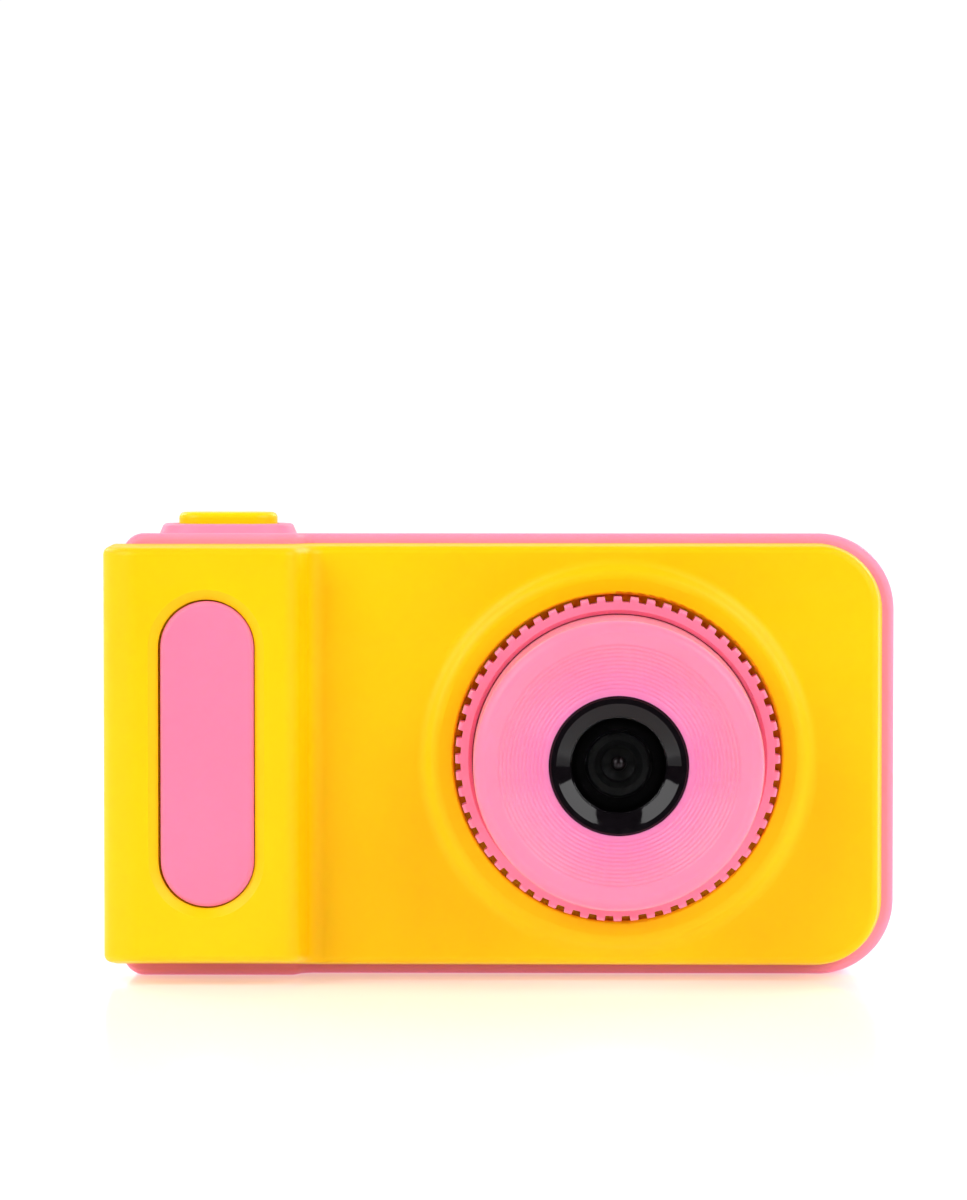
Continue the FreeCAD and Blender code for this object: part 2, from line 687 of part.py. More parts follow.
def rear_shell():
    outer = rear_body()
    shell = outer.cut(rear_cavity())
    inner = REAR_FACE - REAR_WALL
    adds = shutter_ribs()
    for x, z, split in CASE_SCREWS:
        adds.append(rod_y(x, z, POST_R, split, inner + 1).common(outer))
    for x, z in BOARD_SCREWS:
        adds.append(rod_y(x, z, 1.5, BOARD_BACK, inner + 0.5))
    adds.append(lanyard_pocket(1.0).common(outer))
    shell = joined([shell] + adds)
    shell = shell.cut(lanyard_pocket(0.0))
    shell = shell.cut(rod_x(LANYARD_Y, LANYARD_Z, LANYARD_R, REAR_LEFT - 1,
                            REAR_LEFT + REAR_WALL + 1))
    for x, z, split in CASE_SCREWS:
        shell = shell.cut(rod_y(x, z, SCREW_R + 0.1, split - 0.1, REAR_FACE + 1))
        shell = shell.cut(rod_y(x, z, 1.95, REAR_FACE - 5.0, REAR_FACE + 1))
    for x, z in BOARD_SCREWS:
        shell = shell.cut(rod_y(x, z, 0.77, BOARD_BACK - 0.1, BOARD_BACK + 4))
    for side in (-1, 1):
        x = SHUTTER_X + side * 4.4
        shell = shell.cut(rod_z(x, SHUTTER_Y, 0.62, 38.9, 42.0))
    shell = shell.cut(rounded_block(SCREEN_X - 21, SCREEN_X + 21, SCREEN_Z - 15.75,
                                    SCREEN_Z + 15.75, 1.0, inner - 1, REAR_FACE + 1))
    shell = shell.cut(rounded_block(SCREEN_X - 23.2, SCREEN_X + 23.2, SCREEN_Z - 18.0,
                                    SCREEN_Z + 18.0, 2.2, REAR_FACE - 1.05, REAR_FACE + 1))
    for x, z in REAR_BUTTONS.values():
        shell = shell.cut(rod_y(x, z, BUTTON_R + KEY_GAP, inner - 1, REAR_FACE + 1))
    for x, z in speaker_holes():
        shell = shell.cut(rod_y(x, z, 0.6, inner - 1, REAR_FACE + 1))
    shell = shell.cut(rod_y(MIC[0], MIC[1], 0.5, inner - 1, REAR_FACE + 1))
    shell = shell.cut(rod_y(LED[0], LED[1], 1.05, inner - 1, REAR_FACE + 1))
    top_slot = stadium((SHUTTER_X, SHUTTER_Y), 13.4, 7.4, lambda p: V(p[0], p[1], 43.0))
    shell = shell.cut(top_slot.extrude(V(0, 0, 5)))
    usb = side_slot(USB_Z, 8.0, 5.2, 8.2)
    card = side_slot(CARD_Z, 11.8, 6.3, 7.9)
    return shell.cut(usb).cut(card)


def side_slot(z, width, y0, y1):
    """Rounded slot through the side wall on the lens side."""
    half = width / 2
    return box(REAR_RIGHT - REAR_WALL - 2.0, REAR_RIGHT + 1, y0, y1, z - half, z + half)


# ---- Shutter release --------------------------------------------------------------------

def key_place(z):
    return lambda point: V(point[0], point[1], z)


def shutter_stadium(length, depth, z0, z1):
    face = stadium((SHUTTER_X, SHUTTER_Y), length, depth, key_place(z0))
    return face.extrude(V(0, 0, z1 - z0))


def shutter_bezel():
    """Platform round the shutter key, with sloped sides and a skirt through the top wall."""
    slope = 0.5
    base = stadium((SHUTTER_X, SHUTTER_Y), PLATFORM_LENGTH + 0.3, PLATFORM_DEPTH + 0.3,
                   key_place(45.6))
    crown = stadium((SHUTTER_X, SHUTTER_Y), PLATFORM_LENGTH - 2 * slope,
                    PLATFORM_DEPTH - 2 * slope, key_place(PLATFORM_TOP))
    plate = Part.makeLoft([base.OuterWire, crown.OuterWire], True, True)
    top_edges = [e for e in plate.Edges if e.BoundBox.ZMin > PLATFORM_TOP - 0.01]
    plate = plate.makeFillet(0.4, top_edges)
    plate = plate.cut(rear_body())
    skirt = shutter_stadium(13.3, 7.3, 44.3, 46.3)
    bezel = joined([plate, skirt])
    bezel = bezel.cut(shutter_stadium(12.4, 6.4, 43, 46.0))
    return bezel.cut(shutter_stadium(KEY_LENGTH + 2 * KEY_GAP, KEY_DEPTH + 2 * KEY_GAP, 43, 50))


def shutter_button():
    cap = shutter_stadium(KEY_LENGTH, KEY_DEPTH, 45.0, SHUTTER_TOP)
    top_edges = [e for e in cap.Edges if e.BoundBox.ZMin > SHUTTER_TOP - 0.01]
    cap = cap.makeFillet(0.6, top_edges)
    flange = shutter_stadium(12.0, 6.0, 45.05, 45.85)
    stem = rod_z(SHUTTER_X, SHUTTER_Y, 1.3, 42.9, 45.5)
    return joined([cap, flange, stem])


def shutter_board():
    board = box(SHUTTER_X - 5.2, SHUTTER_X + 5.2, SHUTTER_Y - 4, SHUTTER_Y + 4, 38.2, 39.0)
    for side in (-1, 1):
        board = board.cut(rod_z(SHUTTER_X + side * 4.4, SHUTTER_Y, 0.7, 38, 40))
    return board


def shutter_switch():
    """Body of the switch under the shutter key, open at the top for its plunger."""
    half = 2.25
    body = box(SHUTTER_X - half, SHUTTER_X + half, SHUTTER_Y - half, SHUTTER_Y + half, 39.0, 42.0)
    return body.cut(rod_z(SHUTTER_X, SHUTTER_Y, 1.2, 40.2, 43))


def shutter_plunger():
    return rod_z(SHUTTER_X, SHUTTER_Y, 1.1, 41.3, 42.9)


def shutter_screw_set():
    screws = []
    for side in (-1, 1):
        x = SHUTTER_X + side * 4.4
        shank = rod_z(x, SHUTTER_Y, 0.6, 37.6, 41.6)
        head = rod_z(x, SHUTTER_Y, 1.1, 37.6, 38.2)
        slot = box(x - 0.7, x + 0.7, SHUTTER_Y - 0.15, SHUTTER_Y + 0.15, 37.5, 37.9)
        screws.append(joined([shank, head]).cut(slot))
    return screws


# ---- Rear buttons -----------------------------------------------------------------------

def rear_button(x, z):
    """Round key with a softened crown, a flange behind the wall and a stem to the switch."""
    top = REAR_FACE + BUTTON_PROUD
    inner = REAR_FACE - REAR_WALL
    cap = rod_y(x, z, BUTTON_R, inner - 0.5, top)
    crown = [e for e in cap.Edges if e.BoundBox.YMin > top - 0.01]
    cap = cap.makeFillet(0.6, crown)
    flange = rod_y(x, z, 3.7, inner - 0.9, inner - 0.1)
    stem = rod_y(x, z, 1.3, SWITCH_TOP + 0.8, inner - 0.5)
    return joined([cap, flange, stem])


def rear_plunger(x, z):
    return rod_y(x, z, 1.6, SWITCH_TOP - 0.8, SWITCH_TOP + 0.8)


def rear_switch(x, z):
    half = SWITCH_SIZE / 2
    body = box(x - half, x + half, BOARD_BACK, SWITCH_TOP, z - half, z + half)
    return body.cut(rod_y(x, z, 1.7, SWITCH_TOP - 1.8, SWITCH_TOP + 1))


# ---- Boards, screen, power and sound ----------------------------------------------------

def main_board():
    board = box(-37.5, 38.2, BOARD_FRONT, BOARD_BACK, 3.4, 42.6)
    board = board.cut(box(-40, -21.0, 7, 10, 37.3, 45))
    for x, z, split in CASE_SCREWS:
        clear = POST_R + 0.3
        sides = sorted([x - math.copysign(clear, x), x + math.copysign(9, x)])
        ends = (z - 9, z + clear) if z < SCREEN_Z else (z - clear, z + 9)
        board = board.cut(box(sides[0], sides[1], 7, 10, ends[0], ends[1]))
    for x, z in BOARD_SCREWS:
        board = board.cut(rod_y(x, z, 0.85, 7, 10))
    return board


def board_screw_set():
    return [screw(x, z, 0.75, 1.4, BOARD_FRONT, BOARD_BACK + 3, 0.7) for x, z in BOARD_SCREWS]


def board_chips():
    """Packages and connectors on the front of the main board."""
    front = BOARD_FRONT
    return [
        box(-21.5, -13.5, front - 1.0, front, 16.0, 24.0),
        box(-21.5, -15.5, front - 0.8, front, 27.0, 32.0),
        box(-10.6, -9.0, front - 1.4, front, LENS_Z - 4, LENS_Z + 4),
        box(26.0, 31.0, front - 1.2, front, 36.0, 39.5),
        box(-31.5, -27.0, front - 1.6, front, 18.0, 21.5),
    ]


def usb_socket():
    """Shell of the charging socket, open towards the side wall, with its tongue inside."""
    x1 = 38.9
    shell = box(33.6, x1, 5.45, BOARD_FRONT, USB_Z - 3.75, USB_Z + 3.75)
    shell = shell.cut(box(34.2, x1 + 1, 5.75, BOARD_FRONT - 0.3, USB_Z - 3.45, USB_Z + 3.45))
    tongue = box(34.0, x1 - 0.8, 6.45, 7.05, USB_Z - 2.4, USB_Z + 2.4)
    return joined([shell, tongue])


def card_socket():
    shell = box(24.4, 38.4, 6.2, BOARD_FRONT, CARD_Z - 7, CARD_Z + 7)
    return shell.cut(box(25.4, 39.5, 6.5, BOARD_FRONT - 0.3, CARD_Z - 5.8, CARD_Z + 5.8))


def screen_window():
    return rounded_block(SCREEN_X - 23.1, SCREEN_X + 23.1, SCREEN_Z - 17.9, SCREEN_Z + 17.9,
                         2.1, REAR_FACE - 1.05, REAR_FACE - 0.05)


def screen_gasket():
    inner = REAR_FACE - REAR_WALL
    ring = box(SCREEN_X - 23.4, SCREEN_X + 23.4, inner - 0.9, inner, SCREEN_Z - 17.6,
               SCREEN_Z + 17.6)
    return ring.cut(box(SCREEN_X - 21.2, SCREEN_X + 21.2, inner - 1, inner + 1,
                        SCREEN_Z - 15.9, SCREEN_Z + 15.9))


def display_panel():
    inner = REAR_FACE - REAR_WALL
    return box(SCREEN_X - 23.4, SCREEN_X + 23.4, inner - 3.3, inner - 0.9, SCREEN_Z - 17.6,
               SCREEN_Z + 17.6)


def display_frame():
    """Tray that stands on the main board and carries the display panel."""
    back = REAR_FACE - REAR_WALL - 1.3
    tray = box(SCREEN_X - 24.2, SCREEN_X + 24.2, BOARD_BACK, back, SCREEN_Z - 18.4,
               SCREEN_Z + 18.4)
    seat = REAR_FACE - REAR_WALL - 3.3
    tray = tray.cut(box(SCREEN_X - 23.45, SCREEN_X + 23.45, seat, back + 1, SCREEN_Z - 17.65,
                        SCREEN_Z + 17.65))
    return tray.cut(box(SCREEN_X - 21, SCREEN_X + 21, BOARD_BACK - 1, seat + 1,
                        SCREEN_Z - 15, SCREEN_Z + 15))



def battery():
    pouch = box(*BATTERY)
    long_edges = [e for e in pouch.Edges if e.BoundBox.XLength > 20]
    return pouch.makeFillet(1.2, long_edges)


def lead(start, first, second, end, radius):
    """Round wire from start to end that turns once, from direction first to second."""
    reach = radius * 2.5
    corner = start + first * (end - start).dot(first)
    turn_in = corner - first * reach
    turn_out = corner + second * reach
    middle = corner + (second - first) * reach * (1 - math.sqrt(0.5))
    path = Part.Wire([
        Part.LineSegment(start, turn_in).toShape(),
        Part.Arc(turn_in, middle, turn_out).toShape(),
        Part.LineSegment(turn_out, end).toShape(),
    ])
    ring = Part.Wire(Part.Circle(start, first, radius).toShape())
    return path.makePipeShell([ring], True, True)


def battery_leads():
    """Two insulated wires from the cell's end to the board."""
    leads = []
    for z in (30.0, 32.0):
        start = V(BATTERY[0], 4.7, z)
        leads.append(lead(start, V(-1, 0, 0), V(0, 1, 0), V(-10.5, BOARD_FRONT, z), 0.6))
    return leads


def speaker():
    """Small speaker on the back of the board, under the sound holes."""
    can = rounded_block(SPEAKER_X - 7, SPEAKER_X + 7, SPEAKER_Z - 4.4, SPEAKER_Z + 4.4, 1.5,
                        BOARD_BACK + 1.2, BOARD_BACK + 4.6)
    return can.cut(rod_y(SPEAKER_X, SPEAKER_Z, 3.4, BOARD_BACK + 4.0, BOARD_BACK + 5))


def speaker_pad():
    return rounded_block(SPEAKER_X - 6, SPEAKER_X + 6, SPEAKER_Z - 3.6, SPEAKER_Z + 3.6, 1.0,
                         BOARD_BACK, BOARD_BACK + 1.2)


def microphone():
    return rod_y(MIC[0], MIC[1], 2.0, BOARD_BACK, BOARD_BACK + 1.5)


def status_light():
    """Light pipe from the board to the back face."""
    return joined([rod_y(LED[0], LED[1], 1.0, BOARD_BACK + 1, REAR_FACE + 0.1),
                   rod_y(LED[0], LED[1], 1.5, BOARD_BACK, BOARD_BACK + 3)])


def case_screw_set():
    return [screw(x, z, SCREW_R, 1.85, REAR_FACE - 5.0, split - 5.0, 1.2)
            for x, z, split in CASE_SCREWS]


# ---- Parts list -------------------------------------------------------------------------

def all_parts():
    parts = {
        "front_shell": front_shell(),
        "rear_shell": rear_shell(),
        "grip_inlay": grip_inlay(),
        "lens_ring": lens_ring(),
        "lens_barrel": lens_barrel(),
        "barrel_retainer": barrel_retainer(),
        "retainer_screws": retainer_screw_set(),
        "lens_bezel": lens_bezel(),
        "lens_window": lens_window(),
        "camera_lens": camera_lens(),
        "lens_element": lens_element(),
        "lens_holder": lens_holder(),
        "image_sensor": image_sensor(),
        "sensor_board": sensor_board(),
        "sensor_screws": sensor_screw_set(),
        "sensor_flex": sensor_flex(),
        "shutter_bezel": shutter_bezel(),
        "shutter_button": shutter_button(),
        "shutter_plunger": shutter_plunger(),
        "shutter_switch": shutter_switch(),
        "shutter_board": shutter_board(),
        "shutter_screws": shutter_screw_set(),
        "main_board": main_board(),
        "board_chips": board_chips(),
        "board_screws": board_screw_set(),
        "usb_socket": usb_socket(),
        "card_socket": card_socket(),
        "screen_window": screen_window(),
        "screen_gasket": screen_gasket(),
        "display_panel": display_panel(),
        "display_frame": display_frame(),
        "battery": battery(),
        "battery_leads": battery_leads(),
        "speaker": speaker(),
        "speaker_pad": speaker_pad(),
        "microphone": microphone(),
        "status_light": status_light(),
        "case_screws": case_screw_set(),
        "rear_switches": [rear_switch(x, z) for x, z in REAR_BUTTONS.values()],
    }
    for name, (x, z) in REAR_BUTTONS.items():
        parts[name + "_button"] = rear_button(x, z)
        parts[name + "_plunger"] = rear_plunger(x, z)
    return parts


def write_parts():
    os.makedirs("parts", exist_ok=True)
    for name, shape in all_parts().items():
        if isinstance(shape, list):
            shape = Part.makeCompound(shape)
        shape.exportStep("parts/" + name + ".step")
        print(name, len(shape.Solids), round(shape.Volume, 1), shape.isValid())


write_parts()
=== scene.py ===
"""Toy digital camera: finishes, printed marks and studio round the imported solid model."""

import math

import bmesh
import bpy
from bpy.props import FloatProperty, FloatVectorProperty, PointerProperty
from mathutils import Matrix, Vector


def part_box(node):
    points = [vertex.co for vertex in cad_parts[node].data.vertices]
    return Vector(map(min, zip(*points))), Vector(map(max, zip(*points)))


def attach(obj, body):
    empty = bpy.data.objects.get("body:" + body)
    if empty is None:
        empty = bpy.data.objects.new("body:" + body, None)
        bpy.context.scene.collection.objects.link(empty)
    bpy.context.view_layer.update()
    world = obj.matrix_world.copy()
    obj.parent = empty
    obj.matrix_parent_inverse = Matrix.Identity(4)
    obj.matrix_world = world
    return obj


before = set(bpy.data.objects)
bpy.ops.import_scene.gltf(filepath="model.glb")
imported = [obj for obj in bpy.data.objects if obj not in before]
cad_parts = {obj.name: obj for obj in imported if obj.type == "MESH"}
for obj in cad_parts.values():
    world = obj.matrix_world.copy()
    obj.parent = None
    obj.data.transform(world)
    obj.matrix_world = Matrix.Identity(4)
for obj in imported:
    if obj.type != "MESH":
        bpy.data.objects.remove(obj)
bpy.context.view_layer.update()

bl_info = {
    "name": "Toy Digital Camera",
    "version": (1, 0, 0),
    "blender": (4, 5, 0),
    "location": "View3D > Sidebar > Toy Camera",
    "description": "Finishes, printed marks and a small studio for a jointed toy digital camera",
    "category": "Object",
}

MM = 0.001
REAR_KEYS = ("up", "ok", "down", "menu", "power")
BAR_ROUNDING = 0.45
SENSOR_WIDTH = 36.0
FLOOR_GAP = 0.05 * MM

# Sizes of the surface patterns: slow drifts and flows, then wear, then fine grain
DRIFT_SIZE = 14 * MM
FLOW_SIZE = 9 * MM
RUB_SIZE = 2.2 * MM
HAZE_SIZE = 1.1 * MM
TURNING_SIZE = 0.25 * MM
SOOT_SIZE = 1.8 * MM
SOOT_GRAIN = 0.12 * MM
SMEAR_SIZE = 5 * MM
PANE_DUST_SIZE = 0.5 * MM
COATING_SIZE = 0.9 * MM
TARNISH_SIZE = 2.4 * MM
DRAWING_SIZE = 0.16 * MM
TRACK_PITCH = 1.7 * MM
PAD_PITCH = 3.3 * MM
MASK_SIZE = 0.8 * MM
CHIP_PATCH = 1.0 * MM
CHIP_GRAIN = 0.06 * MM
COPPER_PITCH = 2.4 * MM
FILM_SIZE = 1.2 * MM
FOAM_CELL = 0.3 * MM
FOLD_SIZE = 2.6 * MM
SCUFF_SIZE = 0.7 * MM
CELL_PITCH = 0.32 * MM
PANEL_SIZE = 6 * MM
FROST_SIZE = 0.1 * MM
MOULDING_PATCH = 0.8 * MM
MOULDING_GRAIN = 0.1 * MM

# Depths of the surface patterns
FLOW_DEPTH = 0.02 * MM
TURNING_DEPTH = 0.001 * MM
SOOT_DEPTH = 0.006 * MM
DRAWING_DEPTH = 0.002 * MM
TRACK_DEPTH = 0.02 * MM
FINE_DEPTH = 0.004 * MM
COPPER_DEPTH = 0.01 * MM
SCUFF_DEPTH = 0.01 * MM
FOAM_DEPTH = 0.05 * MM
FOLD_DEPTH = 0.12 * MM


# ---- Property helpers -------------------------------------------------------------------

def colour_property(name, description, default):
    return FloatVectorProperty(
        name=name, description=description, default=default,
        subtype="COLOR", size=3, min=0.0, max=1.0)


def length_property(name, description, default):
    return FloatProperty(
        name=name, description=description, default=default, min=0.0,
        unit="LENGTH", subtype="DISTANCE")


def share_property(name, description, default):
    return FloatProperty(
        name=name, description=description, default=default, min=0.0, max=1.0,
        subtype="FACTOR")


def power_property(name, description, default):
    return FloatProperty(
        name=name, description=description, default=default, min=0.0, unit="POWER")


def place_property(name, description, default):
    return FloatVectorProperty(
        name=name, description=description, default=default,
        subtype="TRANSLATION", unit="LENGTH", size=3)


# ---- Settings ---------------------------------------------------------------------------

class ShellSettings(bpy.types.PropertyGroup):
    """Colours and surface of the moulded shells and keys"""

    yellow: colour_property(
        "Yellow", "Colour of the front shell's plastic", (0.94, 0.565, 0.0))
    key_yellow: colour_property(
        "Key Yellow", "Colour of the shutter key and the rear keys", (0.95, 0.69, 0.002))
    pink: colour_property(
        "Pink", "Colour of the rear shell's plastic", (0.93, 0.295, 0.44))
    inlay_pink: colour_property(
        "Inlay Pink", "Colour of the grip inlay", (0.94, 0.212, 0.355))
    barrel_pink: colour_property(
        "Barrel Pink", "Colour of the lens barrel and its ring", (0.93, 0.243, 0.385))
    roughness: share_property(
        "Roughness", "Roughness of the satin plastic", 0.42)
    grain: length_property(
        "Grain", "Size of the fine eroded grain of the mould", 0.00016)
    grain_depth: length_property(
        "Grain Depth", "Depth of the mould's grain", 0.000004)
    unevenness: share_property(
        "Unevenness", "How much the colour drifts across a moulding", 0.03)
    shine: share_property(
        "Shine", "Strength of the satin plastic's reflection", 0.18)
    glow_share: share_property(
        "Glow Share", "Share of the light that scatters inside the plastic", 0.3)
    glow_depth: length_property(
        "Glow Depth", "How far red light travels inside the plastic", 0.0009)
    # Painted shade: a darker, bluer pink laid on the barrel's face round the bezel, fading out by
    # the reach below
    bezel_shade_paint: colour_property(
        "Bloom", "Tint of the barrel's face beside the bezel", (0.80, 0.21, 0.43))
    bezel_shade_reach: length_property(
        "Bloom Reach", "From the lens axis to where the tint ends", 0.0118)
    # Painted reflection: the peach that the yellow shell throws on the barrel's side, laid into its
    # colour
    flank_reflection_paint: colour_property(
        "Flank", "Tint of the barrel's side, where the yellow shell shines on it",
        (0.94, 0.31, 0.385))
    flank_reflection_start: length_property(
        "Flank Start", "From the lens axis to where the side's tint starts", 0.01465)
    flank_reflection_blend: length_property(
        "Flank Blend", "Width over which the side's tint comes in", 0.0002)


class LensSettings(bpy.types.PropertyGroup):
    """Colours and surface of the black lens parts"""

    black: colour_property(
        "Bezel Black", "Colour of the glossy funnel", (0.004, 0.003, 0.004))
    bezel_roughness: share_property(
        "Bezel Roughness", "Roughness of the glossy funnel", 0.07)
    cell_black: colour_property(
        "Cell Black", "Colour of the lens cell and its holder", (0.006, 0.006, 0.006))
    bezel_shine: share_property(
        "Bezel Shine", "Strength of the glossy funnel's reflection", 0.2)
    window_shine: share_property(
        "Window Shine", "Strength of the window's reflection", 0.14)
    coating: colour_property(
        "Coating", "Tint of the front glass's coating", (0.022, 0.012, 0.014))


class ScreenSettings(bpy.types.PropertyGroup):
    """Sizes and colours of the rear screen"""

    border_width: length_property(
        "Border Width", "Outer width of the printed border", 0.0458)
    border_height: length_property(
        "Border Height", "Outer height of the printed border", 0.0354)
    view_width: length_property(
        "View Width", "Width of the clear part of the window", 0.0408)
    view_height: length_property(
        "View Height", "Height of the clear part of the window", 0.0306)
    corner: length_property(
        "Corner", "Outer corner radius of the printed border", 0.0019)
    view_corner: length_property(
        "View Corner", "Corner radius of the clear part of the window", 0.0003)
    border_depth: length_property(
        "Border Depth", "From the window's inner face to the printed border", 0.00002)
    border_thickness: length_property(
        "Border Thickness", "Thickness of the printed border", 0.00004)
    panel: colour_property(
        "Panel", "Colour of the display when it is off", (0.018, 0.021, 0.028))


class MarkSettings(bpy.types.PropertyGroup):
    """Sizes and colour of the printed key marks"""

    ink: colour_property("Ink", "Colour of the printed marks", (0.80, 0.10, 0.22))
    reach: length_property("Reach", "Half the size of a mark", 0.00125)
    stroke: length_property("Stroke", "Width of a mark's lines", 0.00042)
    thickness: length_property("Thickness", "Thickness of the print", 0.00004)
    arrow_scale: FloatProperty(
        name="Arrow Scale", description="Reach of an arrow, as a multiple of a mark's reach",
        default=1.15, min=0.0)
    arrow_corner: length_property(
        "Arrow Corner", "Corner radius of the arrows", 0.0002)
    row_pitch: share_property(
        "Row Pitch", "Distance between the menu sign's rows, as a share of its reach", 0.72)
    power_gap: FloatProperty(
        name="Power Gap", description="Half the opening at the top of the power sign's ring",
        default=math.radians(38), min=0.0, subtype="ANGLE")
    stem_height: share_property(
        "Stem Height", "Height of the power sign's stem centre, as a share of its reach", 0.62)
    stem_length: FloatProperty(
        name="Stem Length", description="Length of the power sign's stem, over its reach",
        default=1.1, min=0.0)


class StudioSettings(bpy.types.PropertyGroup):
    """Camera, lights and floor"""

    camera_place: place_property(
        "Camera Place", "Where the camera stands", (0.00548, -0.5465, 0.0620))
    camera_aim: place_property(
        "Camera Aim", "The point that the camera looks at", (-0.00182, -0.0065, 0.03959))
    focal: FloatProperty(
        name="Focal Length", description="Focal length of the camera, in millimetres",
        default=157.39, min=1.0)
    softbox_aim: FloatVectorProperty(
        name="Softbox Direction", description="From the lens to the right softbox",
        default=(0.69, -0.50, 0.52), size=3)
    softbox_distance: length_property(
        "Softbox Distance", "From the lens to each softbox", 1.1)
    softbox_size: length_property("Softbox Size", "Side of each softbox", 0.82)
    softbox_power: power_property("Softbox Power", "Power of each softbox", 10.4)
    back_power: power_property("Back Power", "Power of each light behind", 4.7)
    back_place: place_property(
        "Back Place", "Where the right light behind stands", (0.8, 1.0, 0.7))
    back_aim: place_property(
        "Back Aim", "The point that the lights behind look at", (0.0, 0.0, 0.03))
    back_size: length_property("Back Size", "Side of each light behind", 0.6)
    backdrop: FloatProperty(
        name="Backdrop", description="Brightness of the white that the camera sees behind",
        default=1.05, min=0.0)
    dusk_from: FloatProperty(
        name="Dusk From", description="Depth direction where the dark room ends", default=-0.1)
    dusk_to: FloatProperty(
        name="Dusk To", description="Depth direction where the surround is at its full",
        default=0.35)
    surround: FloatProperty(
        name="Surround", description="Brightness of the white surround behind",
        default=1.09, min=0.0)
    room: FloatProperty(
        name="Room", description="Brightness of the dark room in front",
        default=0.015, min=0.0)
    floor_width: length_property("Floor Width", "Width of the floor", 9.0)
    floor_back: length_property("Floor Back", "How far the floor runs behind", 1.4)
    floor_front: length_property("Floor Front", "How far the floor runs in front", 0.17)
    floor_glow: FloatProperty(
        name="Floor Glow", description="Brightness of the lit floor board",
        default=0.3, min=0.0)
    floor_roughness: share_property("Floor Roughness", "Roughness of the floor", 0.10)
    floor_shine: share_property("Floor Shine", "Strength of the floor's reflection", 0.24)


GROUPS = {
    "toy_camera_shell": ShellSettings,
    "toy_camera_lens": LensSettings,
    "toy_camera_screen": ScreenSettings,
    "toy_camera_marks": MarkSettings,
    "toy_camera_studio": StudioSettings,
}


# ---- Materials --------------------------------------------------------------------------

class Finish:
    """A material of one shader, wired from the part's own coordinates"""

    def __init__(self, name):
        self.material = bpy.data.materials.new(name)
        self.material.use_nodes = True
        self.tree = self.material.node_tree
        self.tree.nodes.clear()
        self.shader = self.tree.nodes.new("ShaderNodeBsdfPrincipled")
        output = self.tree.nodes.new("ShaderNodeOutputMaterial")
        self.tree.links.new(self.shader.outputs["BSDF"], output.inputs["Surface"])
        self.coords = self.tree.nodes.new("ShaderNodeTexCoord").outputs["Object"]

    def feed(self, node, socket, value):
        """Sets a socket, or links it when the value is another node's output"""
        if isinstance(value, bpy.types.NodeSocket):
            self.tree.links.new(value, node.inputs[socket])
        else:
            node.inputs[socket].default_value = value

    def set(self, **values):
        for key, value in values.items():
            self.feed(self.shader, key.replace("_", " "), value)
        return self

    def stretched(self, scale):
        made = self.tree.nodes.new("ShaderNodeMapping")
        self.feed(made, "Vector", self.coords)
        made.inputs["Scale"].default_value = scale
        return made.outputs["Vector"]

    def noise(self, size, detail=2.0, roughness=0.5, vector=None):
        made = self.tree.nodes.new("ShaderNodeTexNoise")
        self.feed(made, "Vector", vector or self.coords)
        self.feed(made, "Scale", 1.0 / size)
        self.feed(made, "Detail", detail)
        self.feed(made, "Roughness", roughness)
        return made.outputs["Fac"]

    def span(self, value, low, high, from_low=0.3, from_high=0.7):
        """Maps a noise value to a range"""
        made = self.tree.nodes.new("ShaderNodeMapRange")
        self.feed(made, "Value", value)
        self.feed(made, "From Min", from_low)
        self.feed(made, "From Max", from_high)
        self.feed(made, "To Min", low)
        self.feed(made, "To Max", high)
        return made.outputs["Result"]

    def math(self, operation, first, second):
        made = self.tree.nodes.new("ShaderNodeMath")
        made.operation = operation
        for socket, value in zip(made.inputs, (first, second)):
            if isinstance(value, bpy.types.NodeSocket):
                self.tree.links.new(value, socket)
            else:
                socket.default_value = value
        return made.outputs["Value"]

    def mix(self, share, first, second):
        """Mixes two colours by a share"""
        made = self.tree.nodes.new("ShaderNodeMix")
        made.data_type = "RGBA"
        for index, value in ((0, share), (6, first), (7, second)):
            if isinstance(value, bpy.types.NodeSocket):
                self.tree.links.new(value, made.inputs[index])
            else:
                made.inputs[index].default_value = value
        return made.outputs[2]

    def bump(self, height, distance, strength=1.0, under=None):
        made = self.tree.nodes.new("ShaderNodeBump")
        self.feed(made, "Height", height)
        self.feed(made, "Strength", strength)
        self.feed(made, "Distance", distance)
        if under is not None:
            self.feed(made, "Normal", under)
        return made.outputs["Normal"]


def solid(colour, share=1.0):
    """A colour with its alpha, scaled by a share"""
    return tuple(min(1.0, c * share) for c in colour) + (1.0,)


def distance_from_axis(f, centre):
    """Distance from the lens axis, which runs through centre along Y"""
    offset = f.tree.nodes.new("ShaderNodeMapping")
    f.feed(offset, "Vector", f.coords)
    offset.inputs["Location"].default_value = (-centre.x, 0.0, -centre.z)
    offset.inputs["Scale"].default_value = (1.0, 0.0, 1.0)
    length = f.tree.nodes.new("ShaderNodeVectorMath")
    length.operation = "LENGTH"
    f.feed(length, "Vector", offset.outputs["Vector"])
    return length.outputs["Value"]


